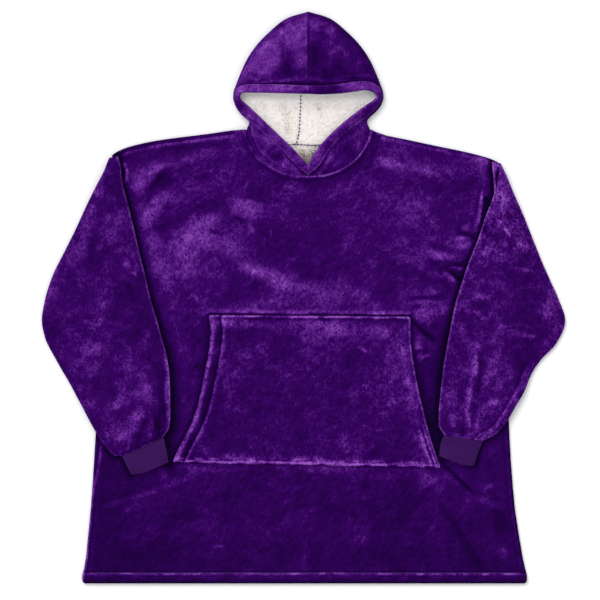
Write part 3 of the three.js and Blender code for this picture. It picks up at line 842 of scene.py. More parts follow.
def front_lines(x, y):
    """Painted light and shade on the front's pile: highlights on its seams' ridges, shade in their grooves,
    at its small creases and at the shoulders' edge, and painted shadow beside the sleeves and the pocket.
    """
    up = y - HEM_Y + 1.2 * noise(x, y * 0, 60, 68)
    neck = from_neckline(x, y) + 1.5 * noise(x, y, 30, 69)
    below_shoulder = under_shoulder(x, y, neck)
    seam_down = shoulder_seam(x)
    lines = folds_at(x, y, BODY_MARKS)
    lines += 0.2 * broken(x, y, 15, 66, 0.1) * bell(neck - 4, 2.4) - 0.06 * bell(neck - 9, 3)
    lines += 0.36 * broken(x, y * 0, 13, 61, -0.15) * bell(up - 20, 1.8) - 0.05 * bell(up - 16, 2.5)
    lines += 0.16 * broken(x, y, 20, 62) * bell(below_shoulder - seam_down, 3.5)
    lines -= 0.24 * (1 - smoothstep(below_shoulder, 0, seam_down - 2.5))
    seam_in = lerp(13, 1, smoothstep(-y, 290, 420))
    lines += 0.22 * bell(x - SIDES.left(y) - seam_in, 3) * smoothstep(-y, 270, 300)
    above_pocket, beside_pocket = pocket_distances(x, y)
    ridge = above_pocket - 5.5 + 1.3 * noise(x, y * 0, 22, 72)
    lines += 0.26 * broken(x, y * 0, 20, 63, 0.15) * bell(ridge, 2.6) * beside_pocket
    lines -= 0.3 * bell(above_pocket, 2.5) * beside_pocket
    t = up_pocket(y)
    beside = smoothstep(t, -0.02, 0.03) * (1 - smoothstep(t, 0.97, 1.02))
    lines -= 0.16 * beside * bell(x - POCKET_SIDES.left(t), 7)
    lines -= 0.15 * beside * bell(x - POCKET_SIDES.right(t), lerp(14, 5, smoothstep(t, 0.3, 1)))
    for side in ("left", "right"):
        gap = distance_to(x, y, sleeve_line(side))
        wide = lerp(9, 14, smoothstep(-y, -60, 140))
        lines -= 0.22 * bell(gap, wide) + 0.22 * bell(gap - 1, 5)
        outer = distance_to(x, y, sleeve_line(side, "out"))
        lines -= 0.16 * bell(outer, 9) * smoothstep(-y, 150, 200)
    return lines


def sleeve_line(side, edge="in"):
    """Points along a sleeve's inner or outer fold and on along its cuff."""
    line = []
    for curve, last in ((curves(SLEEVES[side]), LAST_ROW), (curves(CUFFS[side]), 1)):
        at = np.linspace(0, last, 70)
        line += zip(getattr(curve, edge + "X")(at), getattr(curve, edge + "Y")(at))
    return line


def rim_drop(distance):
    """How much an edge is taken down inside it, as a rounded rim."""
    rest = np.clip(1 - distance / EDGE_ROUND, 0, 1)
    return EDGE_ROUND * (1 - np.sqrt(1 - rest * rest))


# Distances of the close rows and columns from a panel's edge
RIM = np.array([0, 0.5, 1.4, 3.0, 5.0])
RIM_SPANS = [(a, b, 1) for a, b in zip(RIM, RIM[1:])]


def body_columns(y, panel_side_steps, neck_steps):
    """Places across a body panel at one height, close together at its edges and at the neck points."""
    left, right = float(SIDES.left(y)), float(SIDES.right(y))
    neck = HOOD_X + NECK_HALF * np.sin(np.linspace(-math.pi / 2, math.pi / 2, neck_steps + 1))
    return np.concatenate(
        [
            left + RIM[:-1],
            np.linspace(left + RIM[-1], neck[0], panel_side_steps, endpoint=False),
            neck,
            np.linspace(neck[-1], right - RIM[-1], panel_side_steps + 1)[1:],
            right - RIM[-2::-1],
        ]
    )


def body_grid(panel, side_steps, neck_steps, heights, upper_steps):
    """Plan points over a body panel, from the hem up."""
    rows = []
    for y in heights:
        x = body_columns(y, side_steps, neck_steps)
        rows.append(np.stack([x, np.full_like(x, y)], axis=1))
    start = body_columns(SHOULDER_ROW_Y, side_steps, neck_steps)
    places = np.linspace(0, 1, len(start))
    steps = [(t, RIM[-1]) for t in np.linspace(0, 1, upper_steps + 1)[1:]]
    for share, below in [*steps, *[(1, b) for b in RIM[-2::-1]]]:
        y = lerp(SHOULDER_ROW_Y, top_of(panel, start) - below, share)
        left_shift = SIDES.left(y) - start[0]
        right_shift = SIDES.right(y) - start[-1]
        pull = np.clip((places - 0.5) * 2, -1, 1)
        x = start + np.where(pull < 0, left_shift, right_shift) * pull**4
        y = lerp(SHOULDER_ROW_Y, top_of(panel, x) - below, share)
        rows.append(np.stack([x, y], axis=1))
    return np.array(rows)


def raised(plan, z):
    """Plan points lifted to their heights."""
    return np.concatenate([plan, z[..., None]], axis=-1)


def inside_edges(panel, plan):
    """Distance of plan points from the panel's nearest free edge."""
    x, y = plan[..., 0], plan[..., 1]
    return np.min([x - SIDES.left(y), SIDES.right(y) - x, y - HEM_Y, top_of(panel, x) - y], axis=0)


def front_panel():
    """The front, from the hem to the shoulders, with its folds, seams and turned hem."""
    heights = HEM_Y + spaced(*RIM_SPANS, (5, 33, 16), (33, LEVEL_PART, 200))
    plan = body_grid("front", 92, 92, heights, 76)
    x, y = plan[..., 0], plan[..., 1]
    neck = from_neckline(x, y)
    top = front_top(x, y) - rim_drop(inside_edges("front", plan)) * lerp(0.3, 1, smoothstep(neck, 5, 12))
    few = plan[::COARSE, ::COARSE]
    low = front_top(few[..., 0], few[..., 1], seams=False) - WALL
    low = np.clip(low - HEM_RISE * (few[..., 1] < HEM_Y + HEM_DEPTH), FRONT_BOTTOM, None)
    grid = raised(plan, top)
    base = lerp(0.19, 0.25, smoothstep(y, -420, -60)) - 0.05 * (1 - smoothstep(x, -430, -250)) * (y < -250)
    shade = np.maximum(nap_at(x, y, BODY_NAP, base) + facing(grid) + front_lines(x, y), 0.01)
    ruffle = lerp(1.15, 1.0, smoothstep(y, -420, -60))
    hidden = raised(few, low)
    made = wall_piece("fleece_front", "front_panel", grid, hidden, VIOLET, "fleece", shade, ruffle, 1)


def back_panel():
    """The back, flat on the floor, with rounded edges."""
    heights = HEM_Y + spaced(*RIM_SPANS, (5, LEVEL_PART, 60))
    plan = body_grid("back", 32, 36, heights, 12)
    inside = inside_edges("back", plan)
    floor = rim_drop(inside)
    groove = 0.7 * bell(plan[..., 1] - HEM_Y - HEM_DEPTH, 5)
    few = plan[::COARSE, ::COARSE]
    points, faces = shell(raised(plan, floor + groove), raised(few, np.full(few.shape[:2], WALL)))
    shade = nap_at(points[:, 0], points[:, 1], BODY_NAP, 0.24)
    ruffle = np.ones(len(points))
    made = piece("fleece_back", points, faces, VIOLET, "fleece", "back_panel", nap=shade, ruffle=ruffle)


# Pocket


def pocket():
    """The pouch pocket, sewn down at its top and bottom and a little open at its slanting sides."""
    shares = spaced((0, 0.014, 4), (0.014, 0.04, 4), (0.04, 0.96, 96), (0.96, 0.986, 4), (0.986, 1, 4))
    rows = []
    for t in shares:
        corner = 1.5 * rim_drop(min(t, 1 - t) * POCKET_TALL / 1.5)
        left, right = float(POCKET_SIDES.left(t)) + corner, float(POCKET_SIDES.right(t)) - corner
        width = right - left
        inside = spaced(
            (0, 2, 2), (2, 30, 14), (30, width - 30, 128), (width - 30, width - 2, 14), (width - 2, width, 2)
        )
        across = inside / width
        bottom = lerp(POCKET_BOTTOM.left, POCKET_BOTTOM.right, across)
        top = lerp(POCKET_TOP.left, POCKET_TOP.right, across)
        y = lerp(bottom, top, t)
        line = np.stack([left + inside, y, np.full_like(inside, t), inside, width - inside])
        rows.append(line.T)
    grid = np.array(rows)
    x, y, t, from_left, from_right = np.moveaxis(grid, -1, 0)
    in_from_side = np.minimum(from_left, from_right)
    from_seam = POCKET_TALL * np.minimum(t, 1 - t)
    from_stitches = from_seam + 1.3 * noise(x, y * 0, 22, 70)
    opening = np.sin(math.pi * t) * (1 - smoothstep(in_from_side, 0, 60))
    ground = np.full_like(x, FRONT_TOP + LOFT + SEAM)
    edge = 1 - smoothstep(np.minimum(in_from_side, from_seam), 0, 20)
    around = (-8, 0, 8)
    near = np.max([front_top(x + dx, y + dy, seams=False) for dx in around for dy in around], axis=0)
    seat = lerp(ground, near + SEAM, edge) + POCKET_MOUTH * opening
    pucker = noise(x, y, 8, 15)
    left_hem = 3.0 * np.sin(np.clip(from_left / POCKET_HEM, 0, 1) * math.pi) ** 0.7
    right_hem = 0.4 * (1 - smoothstep(from_right, POCKET_HEM - 8, POCKET_HEM + 1))
    hem = np.where(from_left < from_right, left_hem, right_hem)
    grooves = (1.6 + 0.5 * pucker) * bell(from_left - POCKET_HEM - 1, 1.8)
    grooves += 0.5 * bell(from_right - POCKET_HEM, 1.8) * (t < 0.3)
    lower = t < 0.5
    seam_depth = 7 + 1.5 * noise(x, y * 0, 30, 16)
    grooves += lower * (1.3 + 0.5 * pucker) * bell(from_seam - seam_depth, 1.8)
    ridge = (0.7 + 0.6 * noise(x, y * 0, 12, 17)) * bell(from_seam - 3, 3)
    rim = np.minimum(rim_drop(in_from_side), 2.6) + np.minimum(rim_drop(from_seam), 2.2)
    relief = 0.9 * cloud(x, y, 70, 18, 2) + 0.15 * noise(x, y, 9, 19) + 0.15 * noise(x, y, 5, 20)
    relief = relief * smoothstep(np.minimum(in_from_side, from_seam), 0, 12)
    thick = np.maximum(0.8, POCKET_WALL + hem - grooves + ridge - rim + relief)
    fine = np.stack([x, y, seat + thick], axis=-1)
    few = np.stack([x, y, seat], axis=-1)[::COARSE, ::COARSE]
    # Painted light and shade: highlights along the stitched seams, on the rolled hem's flank, past its groove
    # and along the right edge, painted shade in the hem's groove, and light and dark lines at the lower right
    # tacking
    lines = 0.3 * broken(x, y * 0, 18, 64, 0.15) * bell(from_stitches - 2.5, 2.4)
    lines += lower * 0.34 * broken(x, y * 0, 15, 65, 0) * bell(from_stitches - 9.5, 2.4)
    lines += 0.14 * bell(from_left - 5, 4) - 0.24 * bell(from_left - POCKET_HEM - 0.5, 1.8)
    lines += 0.08 * bell(from_left - POCKET_HEM - 6, 3) + 0.4 * bell(from_right - 1.5, 2.2)
    low_end = smoothstep(t, 0, 0.02) * (1 - smoothstep(t, 0.22, 0.3))
    tacking = 0.24 * bell(from_right - 8, 2) + 0.24 * bell(from_right - 17, 2.2)
    lines += low_end * (tacking - 0.1 * bell(from_right - 12, 2))
    shade = np.maximum(nap_at(x, y, POCKET_NAP, 0.215) + facing(fine) + lines, 0.04)
    made = wall_piece("fleece_pocket", "pocket", fine, few, VIOLET, "fleece", shade, 1.35)


# Sleeves

# Where the underarm lies, the air between a sleeve's layers, how far in the curve of a fold reaches, and
# the last row of the sleeves' tables, at the cuff
UNDERARM_Y = 10
SLEEVE_GAP = 2.5
FOLD_REACH = 7
LAST_ROW = 17
SLEEVES = {
    "left": table(
        "row outX outY inX inY",
        f"""
        0 -389 279 -371 282
        1 -393 270 -367 270
        2 -400 252 -364 252
        3 -411 231 -362 231
        4 -434 185 -351 187
        5 -456 137 -339 139
        6 -480 89 -328 91
        7 -503 42 -316 43
        8 -518 -6 -305 -5
        9 -524 -45 -293 -45
        10 -518 -79 -284 -78
        11 -494 -127 -272 -122
        12 -467 -174 -267 -164
        13 -441 -222 -266 -204
        14 -416 -268 -266 -240
        15 -392 -303 -268 -260
        16 -376 -317 -275 -271
        {LAST_ROW} -363 -317 -280 -279
        """,
    ),
    "right": table(
        "row outX outY inX inY",
        f"""
        0 395 268 377 272
        1 399 259 377 261
        2 406 245 379 245
        3 419 213 381 213
        4 441 163 364 163
        5 460 115 347 113
        6 479 68 328 65
        7 495 32 315 25
        8 511 -4 304 -10
        9 524 -47 295 -52
        10 506 -92 287 -95
        11 476 -124 280 -135
        12 457 -152 276 -170
        13 441 -190 272 -205
        14 425 -217 270 -232
        15 408 -246 270 -254
        16 386 -273 278 -270
        {LAST_ROW} 359 -287 281 -275
        """,
    ),
}
SLEEVE_FOLDS = {
    "left": table(
        "x0 y0 x1 y1 width height",
        """
        -400 190 -430 60 26 1.8
        -350 60 -330 -60 16 1.5
        -470 60 -480 -60 30 1.8
        -360 -40 -345 -160 22 1.6
        -420 -60 -380 -200 30 -1.5
        -330 -150 -320 -260 14 1.6
        -385 -300 -350 -255 9 -1.6
        -350 -306 -330 -255 8 1.8
        -325 -298 -312 -245 8 -1.8
        -300 -288 -296 -240 7 1.6
        -460 -70 -425 -165 18 1.4
        """,
    ),
    "right": table(
        "x0 y0 x1 y1 width height",
        """
        395 200 425 70 24 1.8
        350 -92 328 -262 10 2.2
        366 -95 350 -240 14 -1.2
        470 40 490 -60 28 1.8
        340 60 330 -40 18 1.5
        500 -60 440 -140 14 -1.6
        420 20 410 -110 26 1.4
        300 -230 306 -262 7 1.6
        322 -278 326 -235 7 -1.8
        345 -282 362 -232 9 1.6
        385 -262 420 -200 12 1.5
        430 10 500 25 9 1.0
        """,
    ),
}
# Painted sheen of the sleeves' brushed pile, as soft ellipses: place, radii, turn and strength
SLEEVE_NAP = {
    "left": table(
        "x y rx ry turn strength",
        """
        -405 213 12 9 0 0.3
        -387 196 9 8 0 0.2
        -368 146 13 32 -16 0.27
        -392 143 14 26 -16 0.18
        -440 140 14 60 -26 0.14
        -464 87 14 26 -28 0.22
        -509 17 8 26 -20 0.22
        -335 54 5 15 -10 0.38
        -355 69 5 12 -14 0.28
        -398 32 20 40 -10 0.16
        -405 -24 14 32 -20 0.2
        -313 -75 9 12 0 0.24
        -416 -98 22 10 -20 0.2
        -427 -130 26 26 0 0.16
        -345 -140 20 40 0 0.12
        -309 -192 14 28 0 0.3
        -327 -238 16 11 20 0.32
        -368 -270 26 14 30 0.42
        -368 -209 30 12 30 0.24
        -272 -195 8 80 0 0.4
        """,
    ),
    "right": table(
        "x y rx ry turn strength",
        """
        395 184 5 4 0 0.4
        399 204 13 22 16 0.3
        414 148 22 40 20 0.16
        439 101 11 11 0 0.3
        364 93 8 9 0 0.3
        402 86 20 16 0 0.16
        444 56 26 12 -10 0.24
        352 6 13 8 0 0.3
        318 -12 8 11 0 0.28
        336 -29 14 5 -10 0.28
        490 -18 16 32 -20 0.25
        427 -73 13 12 0 0.2
        399 -61 11 8 0 0.18
        392 -146 40 30 0 0.08
        380 -209 14 9 0 0.33
        348 -215 8 13 0 0.22
        297 -199 12 22 0 0.24
        310 -238 18 14 0 0.2
        356 40 20 40 0 0.08
        """,
    ),
}
# Painted highlights and shade at the sleeves' small creases, as thin lines
SLEEVE_MARKS = {
    "left": table(
        "x0 y0 x1 y1 width strength",
        """
        -350 30 -342 -10 5 -0.1
        -420 120 -428 60 10 -0.1
        -300 -230 -290 -262 5 -0.14
        -281 -130 -278 -250 3 -0.22
        """,
    ),
    "right": table(
        "x0 y0 x1 y1 width strength",
        """
        389 156 413 123 3.5 0.24
        411 61 455 54 3 0.18
        346 -97 345 -160 4.5 0.18
        334 -172 326 -235 4 0.16
        326 -235 334 -258 4 0.16
        354 -120 350 -190 6 -0.08
        420 -72 470 -80 3 0.14
        389 256 384 222 3 -0.34
        393 256 388 222 2.4 0.2
        """,
    ),
}


def spline(control, per_span):
    """Points on a uniform cubic B-spline from its first to its last control point."""
    first, last = 2 * control[:1] - control[1:2], 2 * control[-1:] - control[-2:-1]
    p = np.concatenate([first, control, last])
    spans = len(p) - 3
    at = np.linspace(0, spans, spans * per_span + 1)
    i = np.minimum(at.astype(int), spans - 1)
    t = (at - i)[:, None]
    weights = [(1 - t) ** 3, 3 * t**3 - 6 * t * t + 4, -3 * t**3 + 3 * t * t + 3 * t + 1, t**3]
    return sum(w / 6 * p[i + k] for k, w in enumerate(weights))


def sleeve_section(row, at, side, depth):
    """Control points of a face of the sleeve's cloth across a row: distance from the outer fold, height."""
    sign = 1 if side == "left" else -1
    width = math.hypot(at.inX - at.outX, at.inY - at.outY)

    def past_edge(w):
        t = w / width
        return sign * (lerp(at.outX, at.inX, t) - getattr(SIDES, side)(lerp(at.outY, at.inY, t)))

    to_edge = width * np.clip(past_edge(0) / (past_edge(0) - past_edge(width)), 0.05, 0.6)
    merged = 1 - smoothstep(at.outY, UNDERARM_Y, UNDERARM_Y + 75)
    retreat, rise = smoothstep(merged, 0, 0.5), smoothstep(merged, 0.5, 1)
    ahead = 26 * smoothstep(row, 11, 13)
    gap = SLEEVE_GAP * smoothstep(row, -1, 3) * (1 - 0.8 * smoothstep(row, 14, LAST_ROW))

    def under(w):
        return np.full_like(w, OVER_BODY + depth)

    def over(w):
        loft = gap * (1 + 0.4 * np.sin(math.pi * np.clip(w / width, 0, 1)))
        return OVER_BODY * smoothstep(past_edge(w), -60, -12) + 2 * WALL + loft - depth

    def back(w):
        return rise * OVER_BODY * smoothstep(past_edge(w) + ahead, -45, -2) + depth

    start = min(lerp(to_edge + 1, max(to_edge + 1, 21), rise), width - 1.6 * FOLD_REACH)
    end = lerp(to_edge - SEAM, start - 15, retreat)
    near = min(FOLD_REACH / width, 0.3)
    turns = 1 - min(0.2, FOLD_REACH / (width - start))
    layers = [
        (start, width - depth, [0, 0.3, 0.65, turns, 1], under),
        (width - depth, depth, [0, *np.linspace(near, 1 - near, 6), 1], over),
        (depth, end, [0, min(0.4, FOLD_REACH / end), 0.7, 0.9, 1], back),
    ]
    points = []
    for begin, stop, shares, height in layers:
        w = lerp(begin, stop, np.array(shares))
        points.append(np.stack([w, height(w)], axis=1))
    return np.concatenate(points)


def sleeve_face(side, depth, rows, per_span):
    """A face of the sleeve's cloth as a grid.

    A second grid has each point's share in the top layer and its distance from the inner fold.
    """
    lines = curves(SLEEVES[side])
    grid, on_top = [], []
    for row in rows:
        at = SimpleNamespace(**{name: float(line(row)) for name, line in vars(lines).items()})
        width = math.hypot(at.inX - at.outX, at.inY - at.outY)
        w, z = spline(sleeve_section(row, at, side, depth), per_span).T
        t = w / width
        x, y = lerp(at.outX, at.inX, t), lerp(at.outY, at.inY, t)
        order = np.arange(len(w)) / per_span
        top = smoothstep(order, 5, 6.5) * (1 - smoothstep(order, 10.5, 12))
        grid.append(np.stack([x, y, z], axis=1))
        on_top.append(np.stack([top, width - w], axis=1))
    return np.array(grid), np.array(on_top)


def sleeve(side):
    """A sleeve as a flattened tube that lies over the front, gathered at its cuff."""
    rows = spaced((0, 1, 8), (1, LAST_ROW - 1, 160), (LAST_ROW - 1, LAST_ROW, 8))
    fine, extra = sleeve_face(side, 0, rows, 8)
    hidden, _ = sleeve_face(side, WALL, rows, 8)
    x, y = fine[..., 0], fine[..., 1]
    top, from_inner = extra[..., 0], extra[..., 1]
    at_row = rows[:, None] + 0 * x
    relief = folds_at(x, y, SLEEVE_FOLDS[side]) + 1.1 * cloud(x, y, 70, 23, 3)
    relief += 0.35 * noise(x, y, 9, 25) + 0.25 * noise(x, y, 5, 26)
    gather = smoothstep(at_row, 14.6, LAST_ROW) * noise(from_inner, at_row * 4, 9, 27)
    relief += 1.4 * gather
    if side == "left":
        layer = smoothstep(at_row, 10, 12) * (1 - smoothstep(at_row, 16, 16.6))
        relief += layer * 3.2 * smoothstep(from_inner, 19, 23) * (1 - smoothstep(from_inner, 60, 120))
    fine[..., 2] += relief * top
    from_outer = distance_to(x, y, sleeve_line(side, "out"))
    # Painted light and shade: light and dark lines at the sleeve's creases, lighter gathers, a broken
    # highlight along its end and, on the right sleeve, light and dark lines along its seam
    lines = folds_at(x, y, SLEEVE_MARKS[side]) + 0.06 * gather
    lines += 0.14 * broken(x, y, 12, 28, 0.2) * smoothstep(at_row, LAST_ROW - 0.25, LAST_ROW)
    if side == "right":
        seam = smoothstep(at_row, 10.5, 12)
        lines += seam * (0.1 * (1 - smoothstep(from_outer, 10, 16)) + 0.16 * bell(from_outer - 15, 2.5))
        lines -= seam * 0.08 * bell(from_outer - 19, 3)
    # Painted highlight along the sleeve's inner and outer folds, where the pile catches the light
    rim = 0.3 * bell(from_inner, 3) + 0.12 * bell(from_outer, 4)
    ruffle = 1.3 + (side == "right") * lerp(0.25, 1.0, smoothstep(y, 10, 120))
    base = 0.24 if side == "right" else 0.22
    shade = nap_at(x, y, SLEEVE_NAP[side], base, 0.04) + (0.6 * facing(fine) + lines) * top + rim
    few = hidden[::COARSE, ::COARSE]
    made = wall_piece(f"fleece_sleeve_{side}", f"sleeve_{side}", fine, few, VIOLET, "fleece", shade, ruffle)


# Cuffs

CUFFS = {
    "left": table(
        "t outX outY inX inY",
        """
        0 -362.8 -317.4 -279.8 -279.4
        0.5 -353 -337 -274 -304
        1 -345 -353 -270 -329
        """,
    ),
    "right": table(
        "t outX outY inX inY",
        """
        0 358.8 -287.4 281 -275.4
        0.5 349 -311 273 -297
        1 341 -335 271.5 -317
        """,
    ),
}

# How high a flattened cuff stands, and the number and height of its ribs
CUFF_HEIGHT = 7.6
CUFF_RIBS = 60
RIB_RISE = 0.4


def flat_ring(width, height, share):
    """Points on a flattened ring, a straight run with half-round ends, at shares of its length round."""
    radius = height / 2
    run, turn = width - height, math.pi * height / 2
    at = share * 2 * (run + turn)
    angle = np.clip((at - run) / radius, 0, math.pi) + np.clip((at - 2 * run - turn) / radius, 0, math.pi)
    forward = np.clip(at, 0, run) - np.clip(at - run - turn, 0, run)
    return radius + forward + radius * np.sin(angle), radius - radius * np.cos(angle)


def cuff(side):
    """A flattened tube of rib. Its one thick wall stands for the two layers of the doubled knit."""
    lines = curves(CUFFS[side])
    share = np.arange(CUFF_RIBS * 6) / (CUFF_RIBS * 6)
    ribs = np.cos(share * CUFF_RIBS * 2 * math.pi)
    rings = []
    down = spaced((0, 1, 30))
    ends = [(t, 0.0) for t in down] + [(1.0, CUFF_WALL * s) for s in (0.3, 0.7, 1)]
    ends += [(t, CUFF_WALL) for t in down[::-6]]
    for t, inset in ends:
        out_x, out_y, in_x, in_y = [float(line(t)) for line in vars(lines).values()]
        width = math.hypot(in_x - out_x, in_y - out_y)
        mouth = 0.5 * (1 - abs(2 * min(inset / CUFF_WALL, 1) - 1)) * (t == 1.0)
        sunk = inset + (RIB_RISE / 2) * (1 - ribs) * (inset == 0)
        w, h = flat_ring(width - 2 * inset, CUFF_HEIGHT - 2 * inset, share)
        middle = (CUFF_HEIGHT - 2 * inset) / 2
        w, h = w + inset, inset + middle + (h - middle) * (1 - (sunk - inset) / middle)
        puff = 0.7 * math.sin(math.pi * min(t, 1)) * (h - CUFF_HEIGHT / 2) / CUFF_HEIGHT
        along = w / width
        drop = 6 * t * np.interp(along, (0, 0.06, 0.34, 1), (0, 0.4, 1, 0))
        x, y = lerp(out_x, in_x, along), lerp(out_y, in_y, along) - drop - mouth
        wave = 0.5 * noise(x, y, 22, 33) * (h / CUFF_HEIGHT) * (inset == 0)
        rings.append(np.stack([x, y, OVER_BODY + h + puff + wave], axis=1))
    points, faces = tube(np.array(rings), looped=True)
    shade = 0.45 + 0.15 * cloud(points[:, 0], points[:, 1], 25, 35)
    made = piece(f"rib_cuff_{side}", points, faces, RIB, "rib", f"cuff_{side}", nap=shade)


# Hood

HOOD_ROWS = 16
HOOD = curves(
    table(
        "row inA inY inZ outA outY outZ sideA sideY backY",
        f"""
        0 0 264 15 0 244.5 13.5 {NECK_HALF} {NECK_Y} 305
        1 13 283 16.5 25 266 14.5 121.5 341 320
        2 34 308 18.5 48 295 16 119 346 334
        3 57 331 20.5 70 318 17 118 351 347
        4 79 351 22.5 92 338 17.5 119 355 360
        5 100 369 25 112 353 17 124 361 372
        6 120 385 27.5 132 370 15.5 138 374 385
        7 133 394 29 143 386 14 147 387 398
        8 138 401 30 147 399 13.5 150.5 400 411
        9 135 408 31.5 145 412 14.5 149.5 411 425
        10 120 411 34 135 424 21 144.5 426 440
        11 98 411 36.5 111 430 29 137 445 457
        12 73 410.5 38.5 80 431 34 124 474 475
        13 48 410 40 51 430.5 37 104 504 494
        14 30 409.5 41 31 430 38.5 77 532 512
        15 14 409 41.5 14 429.5 39.5 42 559 531
        {HOOD_ROWS} 0 409 42 0 429 40 0 572 550
        """,
    )
)

# How far the face opening leans, the band's thickness, and its gap and each half's to their neighbours
FACE_LEAN = -8
BAND_THICKNESS = 9
BAND_GAP = 0.05
HALF_GAP = 0.03

# The hood's middle seam is in sight above CROWN_Y, and the band lies over the brow above BROW_Y
CROWN_Y = 425
BROW_Y = 400

# Height of the side fold at the neck and above it, and how square the cloth's curve over it is
SIDE_FOLD_NECK_Z = 5.2
SIDE_FOLD_Z = 8
SIDE_SQUARE = 2.4

# How far the band over the brow lies from its place in the cut, along its inner and outer line
BROW = curves(
    table(
        "across inner outer",
        """
        -150 -2 -2
        -80 -2.5 -5.5
        0 -3 -6.5
        30 -4.5 -7.5
        60 -3.5 -5
        95 0 0
        120 4 2
        150 0 0
        """,
    )
)


def face_shift(y):
    """Sideways shift of the face opening at a place up the hood, to the left where it is below 0."""
    return FACE_LEAN * np.sin(math.pi * np.clip((y - 262) / 138, 0, 1))


def band_lines(row, side):
    """Inner and outer line of the band at a row."""
    h = SimpleNamespace(**{name: float(line(row)) for name, line in vars(HOOD).items()})
    over = float(smoothstep(row, 8.5, 11))
    inner_y, outer_y = h.inY + over * BROW.inner(side * h.inA), h.outY + over * BROW.outer(side * h.outA)
    inner = np.array([h.inA + side * face_shift(h.inY), inner_y, h.inZ])
    outer = np.array([h.outA + side * face_shift(h.outY), outer_y, h.outZ])
    return inner, outer


def side_fold(row):
    """Where the hood's cloth folds under at its side, as distance from the middle and place along it."""
    return np.array([float(HOOD.sideA(row)), float(HOOD.sideY(row))])


def hood_row(row, depth, side, over_steps, turn_steps, floor_steps):
    """A row of the hood's cloth at a depth inside its outer face, from the face edge to the back seam."""
    h = SimpleNamespace(**{name: float(line(row)) for name, line in vars(HOOD).items()})
    inner, outer = band_lines(row, side)
    face = outer + (outer - inner) * BAND_GAP / np.linalg.norm(outer - inner) + (0, 0, 1 - depth)
    fold = side_fold(row)
    run = np.linalg.norm(fold - face[:2])
    tangent = side_fold(row + 0.5) - side_fold(row - 0.5)
    outward = np.array([tangent[1], -tangent[0]]) / np.linalg.norm(tangent)
    near = 1 - smoothstep(run, 10, 20)
    towards = lerp((fold - face[:2]) / run, outward, near)
    face[:2] -= outward * depth * near
    fold = fold - towards * depth
    side_z = lerp(SIDE_FOLD_NECK_Z, SIDE_FOLD_Z, smoothstep(row, 0, 3))

    t = over_steps
    bow = 1 - smoothstep(row, 0, 2.2)
    neck_a = NECK_HALF * np.sin(t * math.pi / 2)
    a = lerp(face[0], fold[0], t) + bow * (neck_a - NECK_HALF * t)
    straight = lerp(NECKLINES.front(0), NECK_Y, t)
    y = lerp(face[1], fold[1], t) + bow * (NECKLINES.front(neck_a) - straight)
    neckline = NECKLINES.front(np.clip(a, 0, NECK_HALF)) + NECK_GAP + 0.4 * depth
    y = lerp(np.maximum(y, neckline), neckline, 1 - smoothstep(row, 0, 0.5))
    z = side_z + (face[2] - side_z) * (1 - t**SIDE_SQUARE) ** (1 / SIDE_SQUARE)
    over = np.stack([np.maximum(a, HALF_GAP), y, z], axis=1)

    back = np.array([HALF_GAP, h.backY])
    run = np.linalg.norm(back - fold)
    radius = min(side_z - depth, run * 0.5)
    turn = turn_steps * radius / run
    t = np.concatenate([turn, lerp(turn[-1], 1, floor_steps)])
    inside = np.clip(1 - t * run / radius, 0, 1)
    a = lerp(fold[0], back[0], t)
    neck_y = NECKLINES.back(np.clip(a, 0, NECK_HALF)) + SEAM
    y = lerp(lerp(fold[1], back[1], t), neck_y, 1 - smoothstep(row, 0, 1.5))
    z = depth + (side_z - depth) * (1 - np.sqrt(1 - inside * inside))
    under = np.stack([np.maximum(a, HALF_GAP), y, z], axis=1)

    points = np.concatenate([over, under])
    points[:, 0] = HOOD_X + side * points[:, 0]
    return points


def hood_face(depth, side, rows, steps):
    """A face of the hood's cloth as a grid of points."""
    return np.array([hood_row(row, depth, side, *steps) for row in rows])


HOOD_FOLDS = {
    -1: table(
        "x0 y0 x1 y1 width height",
        """
        -34 495 -18 445 16 -1.4
        -60 520 -50 450 20 1.8
        -95 470 -110 440 14 1.6
        -100 345 -60 300 9 1.5
        -112 446 -92 436 6 -1.4
        """,
    ),
    1: table(
        "x0 y0 x1 y1 width height",
        """
        32 535 30 450 12 -1.8
        60 540 62 460 16 2
        120 470 95 440 12 1.6
        120 345 80 300 9 1.5
        60 440 130 448 5 -0.8
        """,
    ),
}
# Painted sheen and shade of the hood's brushed pile, as soft ellipses: place, radii, turn and strength
HOOD_NAP = {
    -1: table(
        "x y rx ry turn strength",
        """
        -77 475 34 38 30 0.24
        -18 520 24 40 0 0.22
        -8 468 14 28 10 0.16
        -37 464 14 24 -20 -0.26
        -18 446 26 9 0 -0.24
        -19 545 10 6 0 -0.18
        -45 539 11 7 0 -0.18
        -47 503 7 9 0 -0.16
        -80 322 15 24 40 0.28
        -38 268 15 10 30 0.32
        -86 334 5 8 0 -0.3
        -52 286 9 5 0 -0.16
        """,
    ),
    1: table(
        "x y rx ry turn strength",
        """
        39 527 7 22 5 -0.16
        26 465 18 46 0 -0.1
        18 543 8 10 0 0.18
        58 526 13 20 -30 0.16
        72 500 22 20 0 0.2
        92 480 20 16 0 0.18
        57 474 10 14 0 0.18
        118 445 22 8 -20 0.22
        112 328 13 28 -20 0.38
        66 276 30 12 -25 0.2
        """,
    ),
}


